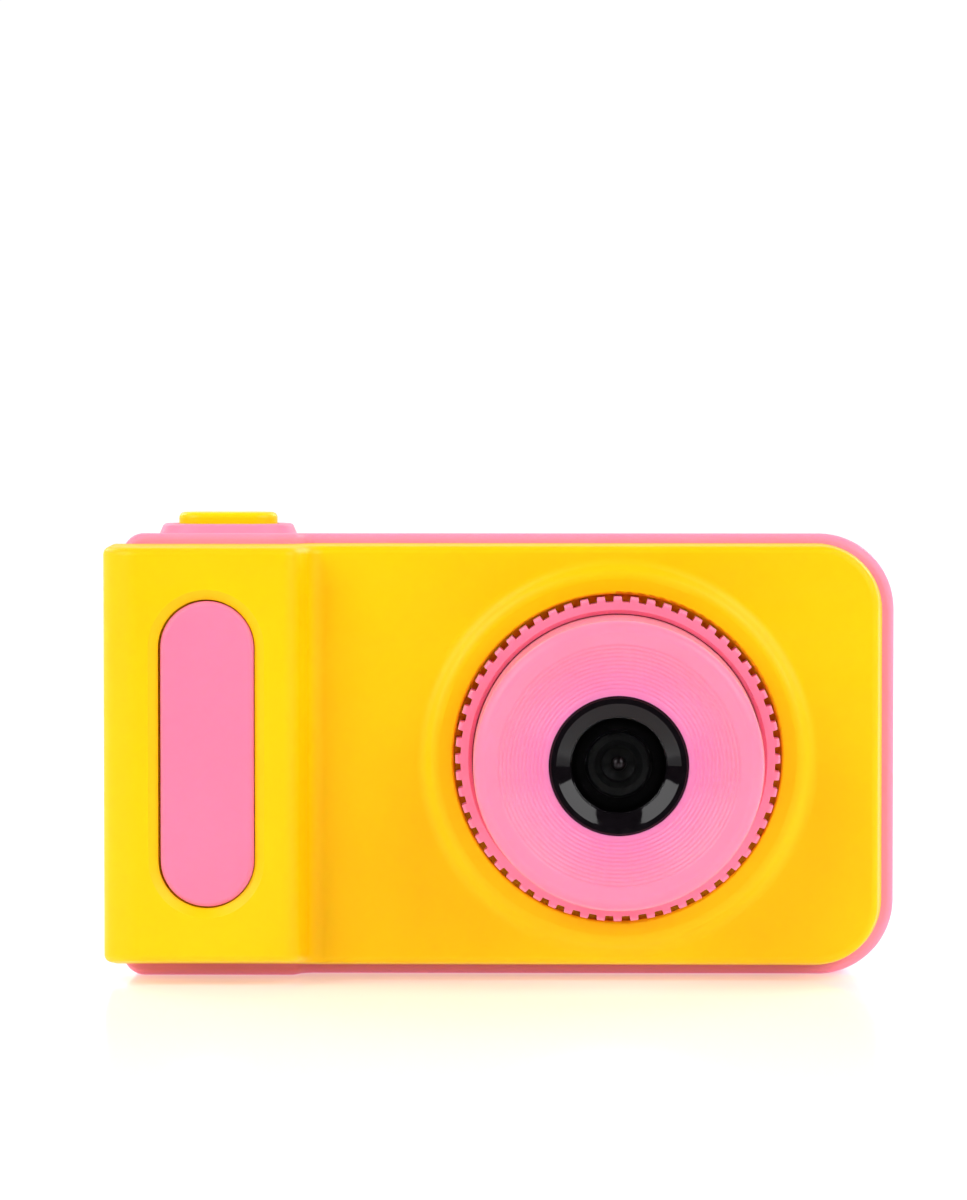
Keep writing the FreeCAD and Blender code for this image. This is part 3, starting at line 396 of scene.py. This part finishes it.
def satin_plastic(name, colour, shell, gloss=0.0, grain_share=1.0, painted_light_axis=None):
    """Moulded plastic: fine eroded grain, slow colour drift, patchy sheen and hairline rubs; with a
    lens axis, also painted shade and painted reflection on the barrel
    """
    f = Finish(name)
    drift = f.noise(DRIFT_SIZE, 3.0)
    cloud = f.span(drift, 0.0, 1.0)
    uneven = shell.unevenness
    tone = f.mix(cloud, solid(colour, 1 - uneven), solid(colour, 1 + uneven))
    if painted_light_axis is not None:
        # Painted shade round the bezel: the face takes the darker tint near the lens axis and loses
        # it by the reach
        reach = shell.bezel_shade_reach
        share = f.span(distance_from_axis(f, painted_light_axis), 1.0, 0.0, reach * 0.6, reach)
        tone = f.mix(share, tone, solid(shell.bezel_shade_paint))
        # Painted reflection of the yellow shell on the barrel's side, laid in beyond the side's
        # start radius
        start = shell.flank_reflection_start
        side = f.span(distance_from_axis(f, painted_light_axis), 0.0, 1.0,
                      start, start + shell.flank_reflection_blend)
        tone = f.mix(side, tone, solid(shell.flank_reflection_paint))
    f.set(Base_Color=tone)
    rub = f.noise(RUB_SIZE, 4.0, 0.6, f.stretched((0.25, 1.0, 1.0)))
    base = shell.roughness - gloss
    f.set(Roughness=f.span(rub, base - 0.035, base + 0.045))
    grain = f.noise(shell.grain, 2.0, 0.55)
    flow = f.noise(FLOW_SIZE, 2.0)
    skin = f.bump(flow, FLOW_DEPTH, 0.25)
    f.set(Normal=f.bump(grain, shell.grain_depth * grain_share, 1.0, skin))
    f.set(IOR=1.49)
    f.shader.inputs["Specular IOR Level"].default_value = shell.shine
    f.shader.inputs["Subsurface Weight"].default_value = shell.glow_share
    f.shader.inputs["Subsurface Radius"].default_value = (1.0, 0.45, 0.2)
    f.shader.inputs["Subsurface Scale"].default_value = shell.glow_depth
    return f.material


def gloss_black(name, colour, roughness, shine=0.5):
    """Polished black plastic with faint haze and turning marks"""
    f = Finish(name)
    haze = f.noise(HAZE_SIZE, 4.0, 0.6)
    f.set(Base_Color=f.mix(f.span(haze, 0.0, 1.0), solid(colour, 0.8), solid(colour, 1.3)))
    f.set(Roughness=f.span(haze, roughness - 0.03, roughness + 0.04))
    marks = f.noise(TURNING_SIZE, 2.0)
    f.set(Normal=f.bump(marks, TURNING_DEPTH, 0.5))
    f.set(IOR=1.55)
    f.shader.inputs["Specular IOR Level"].default_value = shine
    return f.material


def matt_black(name, colour, roughness=0.62):
    """Blackened moulding with a fine dusty grain"""
    f = Finish(name)
    grain = f.noise(SOOT_GRAIN, 3.0, 0.6)
    dust = f.noise(SOOT_SIZE, 4.0)
    f.set(Base_Color=f.mix(f.span(dust, 0.0, 1.0), solid(colour, 0.85), solid(colour, 1.35)))
    f.set(Roughness=f.span(dust, roughness - 0.05, roughness + 0.06))
    f.set(Normal=f.bump(grain, SOOT_DEPTH, 0.8))
    return f.material


def clear_pane(name, tint, haze, shine=0.5):
    """Clear pane with faint smears in its polish"""
    f = Finish(name)
    smear = f.noise(SMEAR_SIZE, 4.0, 0.6, f.stretched((1.0, 1.0, 0.45)))
    f.set(Roughness=f.span(smear, haze * 0.4, haze * 1.6))
    dust = f.noise(PANE_DUST_SIZE, 3.0)
    f.set(Base_Color=f.mix(f.span(dust, 0.0, 1.0, 0.55, 0.8), solid(tint), solid(tint, 0.97)))
    f.set(IOR=1.5)
    f.shader.inputs["Specular IOR Level"].default_value = shine
    f.shader.inputs["Transmission Weight"].default_value = 1.0
    return f.material


def coated_glass(name, tint):
    """Front glass with a coloured coating"""
    f = Finish(name)
    ring = f.noise(COATING_SIZE, 2.0)
    f.set(Base_Color=f.mix(f.span(ring, 0.0, 1.0), solid(tint, 0.7), solid(tint, 1.4)))
    f.set(Roughness=f.span(ring, 0.02, 0.06))
    f.set(IOR=1.6)
    f.shader.inputs["Specular IOR Level"].default_value = 0.2
    f.shader.inputs["Coat Weight"].default_value = 0.15
    f.shader.inputs["Coat Roughness"].default_value = 0.03
    f.shader.inputs["Coat Tint"].default_value = (0.55, 0.45, 0.9, 1.0)
    return f.material


def plated_steel(name, colour, roughness, streak):
    """Plated sheet or turned steel with fine drawing marks"""
    f = Finish(name)
    lines = f.noise(DRAWING_SIZE, 3.0, 0.6, f.stretched(streak))
    tarnish = f.noise(TARNISH_SIZE, 4.0)
    f.set(Base_Color=f.mix(f.span(tarnish, 0.0, 1.0), solid(colour, 0.86), solid(colour)))
    f.set(Roughness=f.span(lines, roughness - 0.07, roughness + 0.09))
    f.set(Normal=f.bump(lines, DRAWING_DEPTH, 0.7))
    f.shader.inputs["Metallic"].default_value = 1.0
    return f.material


def board_finish(name):
    """Solder mask over copper tracks, with bare tinned pads"""
    f = Finish(name)
    cells = f.tree.nodes.new("ShaderNodeTexVoronoi")
    cells.feature = "DISTANCE_TO_EDGE"
    f.feed(cells, "Vector", f.coords)
    f.feed(cells, "Scale", 1.0 / TRACK_PITCH)
    track = f.span(cells.outputs["Distance"], 1.0, 0.0, 0.05, 0.08)
    mask = f.mix(track, (0.008, 0.085, 0.034, 1.0), (0.022, 0.17, 0.062, 1.0))
    dots = f.tree.nodes.new("ShaderNodeTexVoronoi")
    f.feed(dots, "Vector", f.coords)
    f.feed(dots, "Scale", 1.0 / PAD_PITCH)
    pad = f.span(dots.outputs["Distance"], 1.0, 0.0, 0.10, 0.13)
    f.set(Base_Color=f.mix(pad, mask, (0.62, 0.6, 0.55, 1.0)))
    f.set(Metallic=pad, Roughness=f.span(f.noise(MASK_SIZE), 0.26, 0.42))
    f.set(Normal=f.bump(f.math("ADD", track, pad), TRACK_DEPTH, 0.7))
    return f.material


def chip_finish(name):
    """Moulded package with a fine matt face"""
    f = Finish(name)
    grain = f.noise(CHIP_GRAIN, 2.0)
    patch = f.noise(CHIP_PATCH, 3.0)
    f.set(Base_Color=f.mix(f.span(patch, 0.0, 1.0), (0.018, 0.018, 0.019, 1.0),
                           (0.03, 0.03, 0.031, 1.0)))
    f.set(Roughness=f.span(patch, 0.5, 0.62), Normal=f.bump(grain, FINE_DEPTH))
    return f.material


def flex_finish(name):
    """Amber film with copper lines under it"""
    f = Finish(name)
    wave = f.tree.nodes.new("ShaderNodeTexWave")
    wave.bands_direction = "Z"
    f.feed(wave, "Vector", f.coords)
    f.feed(wave, "Scale", 1.0 / COPPER_PITCH)
    f.feed(wave, "Distortion", 0.0)
    line = f.span(wave.outputs["Fac"], 0.0, 1.0, 0.45, 0.6)
    f.set(Base_Color=f.mix(line, (0.42, 0.16, 0.02, 1.0), (0.66, 0.28, 0.07, 1.0)))
    f.set(Roughness=f.span(f.noise(FILM_SIZE), 0.22, 0.34), Normal=f.bump(line, COPPER_DEPTH, 0.6))
    return f.material


def foam_finish(name):
    """Closed-cell foam, darker in each cell's pit as painted shade"""
    f = Finish(name)
    cells = f.tree.nodes.new("ShaderNodeTexVoronoi")
    f.feed(cells, "Vector", f.coords)
    f.feed(cells, "Scale", 1.0 / FOAM_CELL)
    depth = cells.outputs["Distance"]
    # Painted shade: the cell distance that sinks each pit in the bump also darkens its colour there
    f.set(Base_Color=f.mix(depth, (0.012, 0.012, 0.012, 1.0), (0.035, 0.035, 0.036, 1.0)))
    f.set(Roughness=f.span(depth, 0.8, 0.95), Normal=f.bump(depth, FOAM_DEPTH, 0.8))
    return f.material


def foil_finish(name):
    """Crinkled foil pouch, darker in the low folds as painted shade in its creases"""
    f = Finish(name)
    folds = f.noise(FOLD_SIZE, 5.0, 0.62)
    # Painted shade: the folds that shape the bump also darken the foil's colour in their troughs
    f.set(Base_Color=f.mix(f.span(folds, 0.0, 1.0), (0.52, 0.53, 0.56, 1.0),
                           (0.7, 0.71, 0.73, 1.0)))
    f.set(Roughness=f.span(folds, 0.24, 0.42), Normal=f.bump(folds, FOLD_DEPTH, 0.6))
    f.shader.inputs["Metallic"].default_value = 1.0
    return f.material


def wire_finish(name, split_height):
    """Insulation of a pair of wires: red above the split height, black below it"""
    f = Finish(name)
    parts = f.tree.nodes.new("ShaderNodeSeparateXYZ")
    f.feed(parts, "Vector", f.coords)
    upper = f.math("GREATER_THAN", parts.outputs["Z"], split_height)
    scuff = f.noise(SCUFF_SIZE, 3.0)
    red = f.mix(scuff, (0.48, 0.012, 0.01, 1.0), (0.62, 0.025, 0.02, 1.0))
    f.set(Base_Color=f.mix(upper, (0.012, 0.012, 0.013, 1.0), red))
    f.set(Roughness=f.span(scuff, 0.34, 0.5), Normal=f.bump(scuff, SCUFF_DEPTH, 0.5))
    return f.material


def display_finish(name, colour):
    """Display glass with its fine grid of cells"""
    f = Finish(name)
    grid = f.tree.nodes.new("ShaderNodeTexBrick")
    grid.offset = 0.0
    turn = f.tree.nodes.new("ShaderNodeMapping")
    f.feed(turn, "Vector", f.coords)
    turn.inputs["Rotation"].default_value = (math.radians(90), 0.0, 0.0)
    f.feed(grid, "Vector", turn.outputs["Vector"])
    f.feed(grid, "Scale", 1.0 / CELL_PITCH)
    f.feed(grid, "Color1", solid(colour))
    f.feed(grid, "Color2", solid(colour, 1.15))
    f.feed(grid, "Mortar", solid(colour, 0.6))
    f.feed(grid, "Mortar Size", 0.03)
    f.set(Base_Color=grid.outputs["Color"])
    f.set(Roughness=f.span(f.noise(PANEL_SIZE, 3.0), 0.1, 0.17))
    return f.material


def frosted_finish(name):
    """Frosted light pipe"""
    f = Finish(name)
    frost = f.noise(FROST_SIZE, 2.0)
    f.set(Base_Color=f.mix(frost, (0.80, 0.82, 0.80, 1.0), (0.92, 0.93, 0.92, 1.0)))
    f.set(Roughness=f.span(frost, 0.34, 0.48), Normal=f.bump(frost, FINE_DEPTH))
    f.set(IOR=1.49)
    f.shader.inputs["Transmission Weight"].default_value = 0.35
    return f.material


def coloured_moulding(name, low, high, roughness):
    """Small hard moulding, such as a switch plunger"""
    f = Finish(name)
    patch = f.noise(MOULDING_PATCH, 3.0)
    f.set(Base_Color=f.mix(patch, low, high))
    f.set(Roughness=f.span(patch, roughness - 0.06, roughness + 0.06))
    f.set(Normal=f.bump(f.noise(MOULDING_GRAIN), FINE_DEPTH))
    return f.material


def paint(material, *nodes):
    """Gives carried-over solid nodes one finish"""
    for name in nodes:
        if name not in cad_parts:
            raise RuntimeError("the packed model has no node " + name)
        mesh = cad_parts[name].data
        mesh.materials.clear()
        mesh.materials.append(material)


# ---- Mesh pieces ------------------------------------------------------------------------

def new_piece(name, mesh_maker, material, body):
    """Makes a mesh piece from a filled bmesh and hangs it on a body"""
    mesh = bpy.data.meshes.new(name)
    bm = bmesh.new()
    mesh_maker(bm)
    bmesh.ops.recalc_face_normals(bm, faces=bm.faces)
    bm.to_mesh(mesh)
    bm.free()
    mesh.materials.append(material)
    piece = bpy.data.objects.new(name, mesh)
    bpy.context.scene.collection.objects.link(piece)
    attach(piece, body)
    return piece


def extrude_outline(bm, outline, depth_from, depth_to):
    """Closed plate from an (x, z) outline, between two depths"""
    near = [bm.verts.new((x, depth_from, z)) for x, z in outline]
    far = [bm.verts.new((x, depth_to, z)) for x, z in outline]
    bm.faces.new(near)
    bm.faces.new(list(reversed(far)))
    for index in range(len(outline)):
        after = (index + 1) % len(outline)
        bm.faces.new((near[index], near[after], far[after], far[index]))


def extrude_band(bm, outer, inner, depth_from, depth_to):
    """Closed frame between two (x, z) outlines with the same number of points"""
    rings = []
    for outline, depth in ((outer, depth_from), (inner, depth_from),
                           (inner, depth_to), (outer, depth_to)):
        rings.append([bm.verts.new((x, depth, z)) for x, z in outline])
    count = len(outer)
    for first, second in zip(rings, rings[1:] + rings[:1]):
        for index in range(count):
            after = (index + 1) % count
            bm.faces.new((first[index], first[after], second[after], second[index]))


def arc_points(centre, radius, start, end, count):
    """Points along an arc, both ends included"""
    points = []
    for step in range(count + 1):
        angle = start + (end - start) * step / count
        points.append((centre[0] + radius * math.cos(angle),
                       centre[1] + radius * math.sin(angle)))
    return points


def rounded_outline(centre, width, height, corner, count=8):
    """Rectangle with round corners, as (x, z) points"""
    points = []
    half_w = width / 2 - corner
    half_h = height / 2 - corner
    for index, (sx, sz) in enumerate(((1, 1), (-1, 1), (-1, -1), (1, -1))):
        middle = (centre[0] + sx * half_w, centre[1] + sz * half_h)
        start = math.pi / 2 * index
        points += arc_points(middle, corner, start, start + math.pi / 2, count)
    return points


def rounded_triangle(centre, reach, corner, upwards):
    """Triangle with round corners that points up or down"""
    turn = math.pi / 2 if upwards else -math.pi / 2
    points = []
    for index in range(3):
        angle = turn + index * math.tau / 3
        middle = (centre[0] + (reach - corner) * math.cos(angle),
                  centre[1] + (reach - corner) * math.sin(angle))
        points += arc_points(middle, corner, angle - math.pi / 3, angle + math.pi / 3, 6)
    return points


def draw_mark(bm, marks, key, centre, back, front):
    """Fills a bmesh with the sign of one rear key"""
    if key in ("up", "down"):
        corner = marks.arrow_corner
        arrow = rounded_triangle(centre, marks.reach * marks.arrow_scale, corner, key == "up")
        extrude_outline(bm, arrow, back, front)
    elif key == "ok":
        draw_ok_ring(bm, marks, centre, back, front)
    elif key == "menu":
        for row in (-1, 0, 1):
            middle = (centre[0], centre[1] + row * marks.reach * marks.row_pitch)
            draw_bar(bm, marks, middle, marks.reach * 2, marks.stroke, back, front)
    else:
        draw_power_ring(bm, marks, centre, back, front)
        middle = (centre[0], centre[1] + marks.reach * marks.stem_height)
        length = marks.reach * marks.stem_length
        draw_bar(bm, marks, middle, marks.stroke, length, back, front)


def draw_bar(bm, marks, middle, width, height, back, front):
    """Bar with round ends"""
    corner = marks.stroke * BAR_ROUNDING
    extrude_outline(bm, rounded_outline(middle, width, height, corner, 4), back, front)


def draw_ok_ring(bm, marks, centre, back, front):
    outer = arc_points(centre, marks.reach, 0, math.tau, 48)[:-1]
    inner = arc_points(centre, marks.reach - marks.stroke, 0, math.tau, 48)[:-1]
    extrude_band(bm, outer, inner, back, front)


def draw_power_ring(bm, marks, centre, back, front):
    """Ring that is open at its top"""
    start = math.pi / 2 + marks.power_gap
    end = math.pi / 2 + math.tau - marks.power_gap
    outline = arc_points(centre, marks.reach, start, end, 40)
    outline += arc_points(centre, marks.reach - marks.stroke, end, start, 40)
    extrude_outline(bm, outline, back, front)


def node_centre(name):
    """Middle of a node's box"""
    low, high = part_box(name)
    return (low + high) / 2


# ---- Operators --------------------------------------------------------------------------

class TOYCAMERA_OT_shells(bpy.types.Operator):
    """Finish the two shells, the grip inlay and the shutter platform"""

    bl_idname = "toy_camera.shells"
    bl_label = "Shells and Inlay"

    def execute(self, context):
        shell = context.scene.toy_camera_shell
        paint(satin_plastic("yellow_shell_plastic", shell.yellow, shell), "front_shell")
        paint(satin_plastic("pink_shell_plastic", shell.pink, shell),
              "rear_shell", "shutter_bezel")
        paint(satin_plastic("pink_inlay_plastic", shell.inlay_pink, shell, 0.02), "grip_inlay")
        return {"FINISHED"}


class TOYCAMERA_OT_keys(bpy.types.Operator):
    """Finish the shutter key and the rear keys"""

    bl_idname = "toy_camera.keys"
    bl_label = "Keys"

    def execute(self, context):
        shell = context.scene.toy_camera_shell
        names = ["shutter_button"] + [key + "_button" for key in REAR_KEYS]
        paint(satin_plastic("key_plastic", shell.key_yellow, shell, 0.06, 0.7), *names)
        return {"FINISHED"}


class TOYCAMERA_OT_lens(bpy.types.Operator):
    """Finish the barrel, the turning ring and the black lens parts"""

    bl_idname = "toy_camera.lens"
    bl_label = "Lens"

    def execute(self, context):
        shell = context.scene.toy_camera_shell
        lens = context.scene.toy_camera_lens
        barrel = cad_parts["lens_barrel"]
        axis = barrel.matrix_world.inverted() @ node_centre("lens_barrel")
        # The barrel's finish carries painted shade round the bezel and a painted reflection of the
        # yellow shell on its side
        paint(satin_plastic("barrel_plastic_painted_light", shell.barrel_pink, shell, 0.2, 0.5, axis),
              "lens_barrel")
        paint(satin_plastic("ring_plastic", shell.barrel_pink, shell, 0.12, 0.7), "lens_ring")
        paint(gloss_black("bezel_plastic", lens.black, lens.bezel_roughness,
                          lens.bezel_shine), "lens_bezel")
        paint(clear_pane("window_pane", (0.98, 0.98, 0.98), 0.01, lens.window_shine), "lens_window")
        paint(gloss_black("lens_cell_black", lens.cell_black, 0.34, 0.15), "camera_lens")
        paint(matt_black("lens_holder_black", lens.cell_black), "lens_holder",
              "barrel_retainer")
        paint(coated_glass("front_glass", lens.coating), "lens_element")
        return {"FINISHED"}


class TOYCAMERA_OT_screen(bpy.types.Operator):
    """Finish the rear window and display, and print the window's border"""

    bl_idname = "toy_camera.screen"
    bl_label = "Screen"

    def execute(self, context):
        screen = context.scene.toy_camera_screen
        paint(clear_pane("screen_pane", (0.86, 0.87, 0.89), 0.02), "screen_window")
        paint(foam_finish("gasket_foam"), "screen_gasket", "speaker_pad")
        paint(display_finish("display_off", screen.panel), "display_panel")
        paint(matt_black("display_tray", (0.02, 0.02, 0.02)), "display_frame")
        middle = node_centre("screen_window")
        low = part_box("screen_window")[0]
        front = low.y + screen.border_depth
        centre = (middle.x, middle.z)
        outer = rounded_outline(centre, screen.border_width, screen.border_height,
                                screen.corner)
        inner = rounded_outline(centre, screen.view_width, screen.view_height,
                                screen.view_corner)
        ink = gloss_black("border_ink", (0.003, 0.003, 0.004), 0.2)
        piece = new_piece(
            "screen_border",
            lambda bm: extrude_band(bm, outer, inner, front, front + screen.border_thickness),
            ink, "camera_body")
        return {"FINISHED"}


class TOYCAMERA_OT_marks(bpy.types.Operator):
    """Print a plain sign on each rear key"""

    bl_idname = "toy_camera.marks"
    bl_label = "Key Marks"

    def execute(self, context):
        marks = context.scene.toy_camera_marks
        ink = coloured_moulding("mark_ink", solid(marks.ink, 0.92), solid(marks.ink), 0.4)
        for key in REAR_KEYS:
            middle = node_centre(key + "_button")
            centre = (middle.x, middle.z)
            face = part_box(key + "_button")[1].y
            back = face - marks.thickness
            front = face + marks.thickness

            def draw(bm):
                draw_mark(bm, marks, key, centre, back, front)

            new_piece(key + "_mark", draw, ink, key + "_key")
        return {"FINISHED"}


class TOYCAMERA_OT_electronics(bpy.types.Operator):
    """Finish the boards, chips, sockets, battery and sound parts"""

    bl_idname = "toy_camera.electronics"
    bl_label = "Electronics"

    def execute(self, context):
        paint(board_finish("board_mask"), "main_board", "sensor_board", "shutter_board")
        paint(chip_finish("chip_black"), "board_chips", "image_sensor")
        paint(flex_finish("flex_film"), "sensor_flex")
        paint(foil_finish("pouch_foil"), "battery")
        paint(wire_finish("lead_insulation", node_centre("battery_leads").z), "battery_leads")
        paint(matt_black("speaker_black", (0.02, 0.02, 0.02)), "speaker")
        steel = plated_steel("plated_can", (0.62, 0.62, 0.60), 0.3, (1.0, 0.1, 1.0))
        paint(steel, "usb_socket", "card_socket", "microphone")
        paint(frosted_finish("light_pipe"), "status_light")
        paint(coloured_moulding("switch_black", (0.018, 0.018, 0.018, 1.0),
                                (0.03, 0.03, 0.03, 1.0), 0.5),
              "rear_switches", "shutter_switch")
        plungers = [key + "_plunger" for key in REAR_KEYS + ("shutter",)]
        paint(coloured_moulding("plunger_red", (0.42, 0.04, 0.02, 1.0),
                                (0.52, 0.06, 0.03, 1.0), 0.42), *plungers)
        return {"FINISHED"}


class TOYCAMERA_OT_screws(bpy.types.Operator):
    """Finish the screws"""

    bl_idname = "toy_camera.screws"
    bl_label = "Screws"

    def execute(self, context):
        zinc = plated_steel("zinc_screw", (0.44, 0.44, 0.45), 0.34, (1.0, 0.2, 1.0))
        paint(zinc, "case_screws", "board_screws", "sensor_screws", "retainer_screws",
              "shutter_screws")
        return {"FINISHED"}


class TOYCAMERA_OT_stage(bpy.types.Operator):
    """Lay the floor, hang the lights and set the camera"""

    bl_idname = "toy_camera.stage"
    bl_label = "Studio"

    def execute(self, context):
        studio = context.scene.toy_camera_studio
        lay_floor(studio)
        light_world(context.scene, studio)
        hang_lights(studio)
        set_camera(context.scene, studio)
        return {"FINISHED"}


# ---- Studio -----------------------------------------------------------------------------

def lay_floor(studio):
    """Pale glossy board under the camera"""
    mesh = bpy.data.meshes.new("floor")
    bm = bmesh.new()
    half = studio.floor_width / 2
    corners = ((-half, -studio.floor_front), (half, -studio.floor_front),
               (half, studio.floor_back), (-half, studio.floor_back))
    bm.faces.new([bm.verts.new((x, y, 0.0)) for x, y in corners])
    bm.to_mesh(mesh)
    bm.free()
    floor = bpy.data.objects.new("floor", mesh)
    floor.location = (0.0, 0.0, -FLOOR_GAP)
    bpy.context.scene.collection.objects.link(floor)
    f = Finish("floor_board")
    cloud = f.noise(0.3, 2.0)
    f.set(Base_Color=f.mix(cloud, (0.90, 0.90, 0.90, 1.0), (0.93, 0.93, 0.93, 1.0)))
    rough = studio.floor_roughness
    f.set(Roughness=f.span(cloud, rough - 0.01, rough + 0.01))
    f.shader.inputs["Specular IOR Level"].default_value = studio.floor_shine
    f.shader.inputs["Emission Color"].default_value = (1.0, 1.0, 1.0, 1.0)
    f.shader.inputs["Emission Strength"].default_value = studio.floor_glow
    mesh.materials.append(f.material)


def light_world(scene, studio):
    """White surround behind and above, dark room in front"""
    world = bpy.data.worlds.new("studio_room")
    world.use_nodes = True
    tree = world.node_tree
    tree.nodes.clear()
    output = tree.nodes.new("ShaderNodeOutputWorld")
    seen = tree.nodes.new("ShaderNodeBackground")
    seen.inputs["Color"].default_value = (1.0, 1.0, 1.0, 1.0)
    seen.inputs["Strength"].default_value = studio.backdrop
    room = tree.nodes.new("ShaderNodeBackground")
    coords = tree.nodes.new("ShaderNodeTexCoord")
    parts = tree.nodes.new("ShaderNodeSeparateXYZ")
    tree.links.new(coords.outputs["Generated"], parts.inputs["Vector"])
    ramp = tree.nodes.new("ShaderNodeMapRange")
    ramp.interpolation_type = "SMOOTHSTEP"
    ramp.inputs["From Min"].default_value = studio.dusk_from
    ramp.inputs["From Max"].default_value = studio.dusk_to
    ramp.inputs["To Min"].default_value = studio.room
    ramp.inputs["To Max"].default_value = studio.surround
    tree.links.new(parts.outputs["Y"], ramp.inputs["Value"])
    tree.links.new(ramp.outputs["Result"], room.inputs["Strength"])
    path = tree.nodes.new("ShaderNodeLightPath")
    mix = tree.nodes.new("ShaderNodeMixShader")
    tree.links.new(path.outputs["Is Camera Ray"], mix.inputs["Fac"])
    tree.links.new(room.outputs["Background"], mix.inputs[1])
    tree.links.new(seen.outputs["Background"], mix.inputs[2])
    tree.links.new(mix.outputs["Shader"], output.inputs["Surface"])
    scene.world = world


def area_light(name, place, aim, width, height, power):
    """Rectangular light that looks at a point"""
    data = bpy.data.lights.new(name, "AREA")
    data.shape = "RECTANGLE"
    data.size = width
    data.size_y = height
    data.energy = power
    light = bpy.data.objects.new(name, data)
    light.location = place
    light.rotation_mode = "QUATERNION"
    light.rotation_quaternion = (Vector(aim) - Vector(place)).to_track_quat("-Z", "Y")
    bpy.context.scene.collection.objects.link(light)
    return light


def hang_lights(studio):
    """Two softboxes in front of the lens and two lights behind, mirrored left and right"""
    lens = node_centre("lens_window")
    side = studio.softbox_size
    for name, sign in (("softbox_left", -1), ("softbox_right", 1)):
        across, along, up = studio.softbox_aim
        place = lens + Vector((sign * across, along, up)) * studio.softbox_distance
        area_light(name, place, lens, side, side, studio.softbox_power)
    for name, sign in (("back_left", -1), ("back_right", 1)):
        across, along, up = studio.back_place
        area_light(name, (sign * across, along, up), studio.back_aim, studio.back_size,
                   studio.back_size, studio.back_power)


def set_camera(scene, studio):
    """Long lens, all in focus"""
    data = bpy.data.cameras.new("camera")
    data.lens = studio.focal
    data.sensor_width = SENSOR_WIDTH
    data.clip_start = 0.01
    data.clip_end = 50.0
    data.dof.use_dof = False
    camera = bpy.data.objects.new("camera", data)
    place = Vector(studio.camera_place)
    camera.location = place
    camera.rotation_mode = "QUATERNION"
    aim = Vector(studio.camera_aim) - place
    camera.rotation_quaternion = aim.to_track_quat("-Z", "Y")
    scene.collection.objects.link(camera)
    scene.camera = camera
    scene.view_settings.view_transform = "Standard"


# ---- Panel and registration -------------------------------------------------------------

OPERATORS = (
    TOYCAMERA_OT_shells, TOYCAMERA_OT_keys, TOYCAMERA_OT_lens, TOYCAMERA_OT_screen,
    TOYCAMERA_OT_marks, TOYCAMERA_OT_electronics, TOYCAMERA_OT_screws, TOYCAMERA_OT_stage,
)


class TOYCAMERA_PT_panel(bpy.types.Panel):
    """The toy camera's pieces and studio"""

    bl_idname = "TOYCAMERA_PT_panel"
    bl_label = "Toy Camera"
    bl_space_type = "VIEW_3D"
    bl_region_type = "UI"
    bl_category = "Toy Camera"

    def draw(self, context):
        for operator in OPERATORS:
            self.layout.operator(operator.bl_idname)
        for name, group in GROUPS.items():
            box = self.layout.box()
            settings = getattr(context.scene, name)
            for key in group.__annotations__:
                box.prop(settings, key)


def register():
    for cls in tuple(GROUPS.values()) + OPERATORS + (TOYCAMERA_PT_panel,):
        bpy.utils.register_class(cls)
    for name, group in GROUPS.items():
        setattr(bpy.types.Scene, name, PointerProperty(type=group))


def unregister():
    for name in GROUPS:
        delattr(bpy.types.Scene, name)
    for cls in (TOYCAMERA_PT_panel,) + OPERATORS[::-1] + tuple(GROUPS.values())[::-1]:
        bpy.utils.unregister_class(cls)


def main():
    register()
    for operator in OPERATORS:
        group, name = operator.bl_idname.split(".")
        getattr(getattr(bpy.ops, group), name)()


if __name__ == "__main__":
    main()
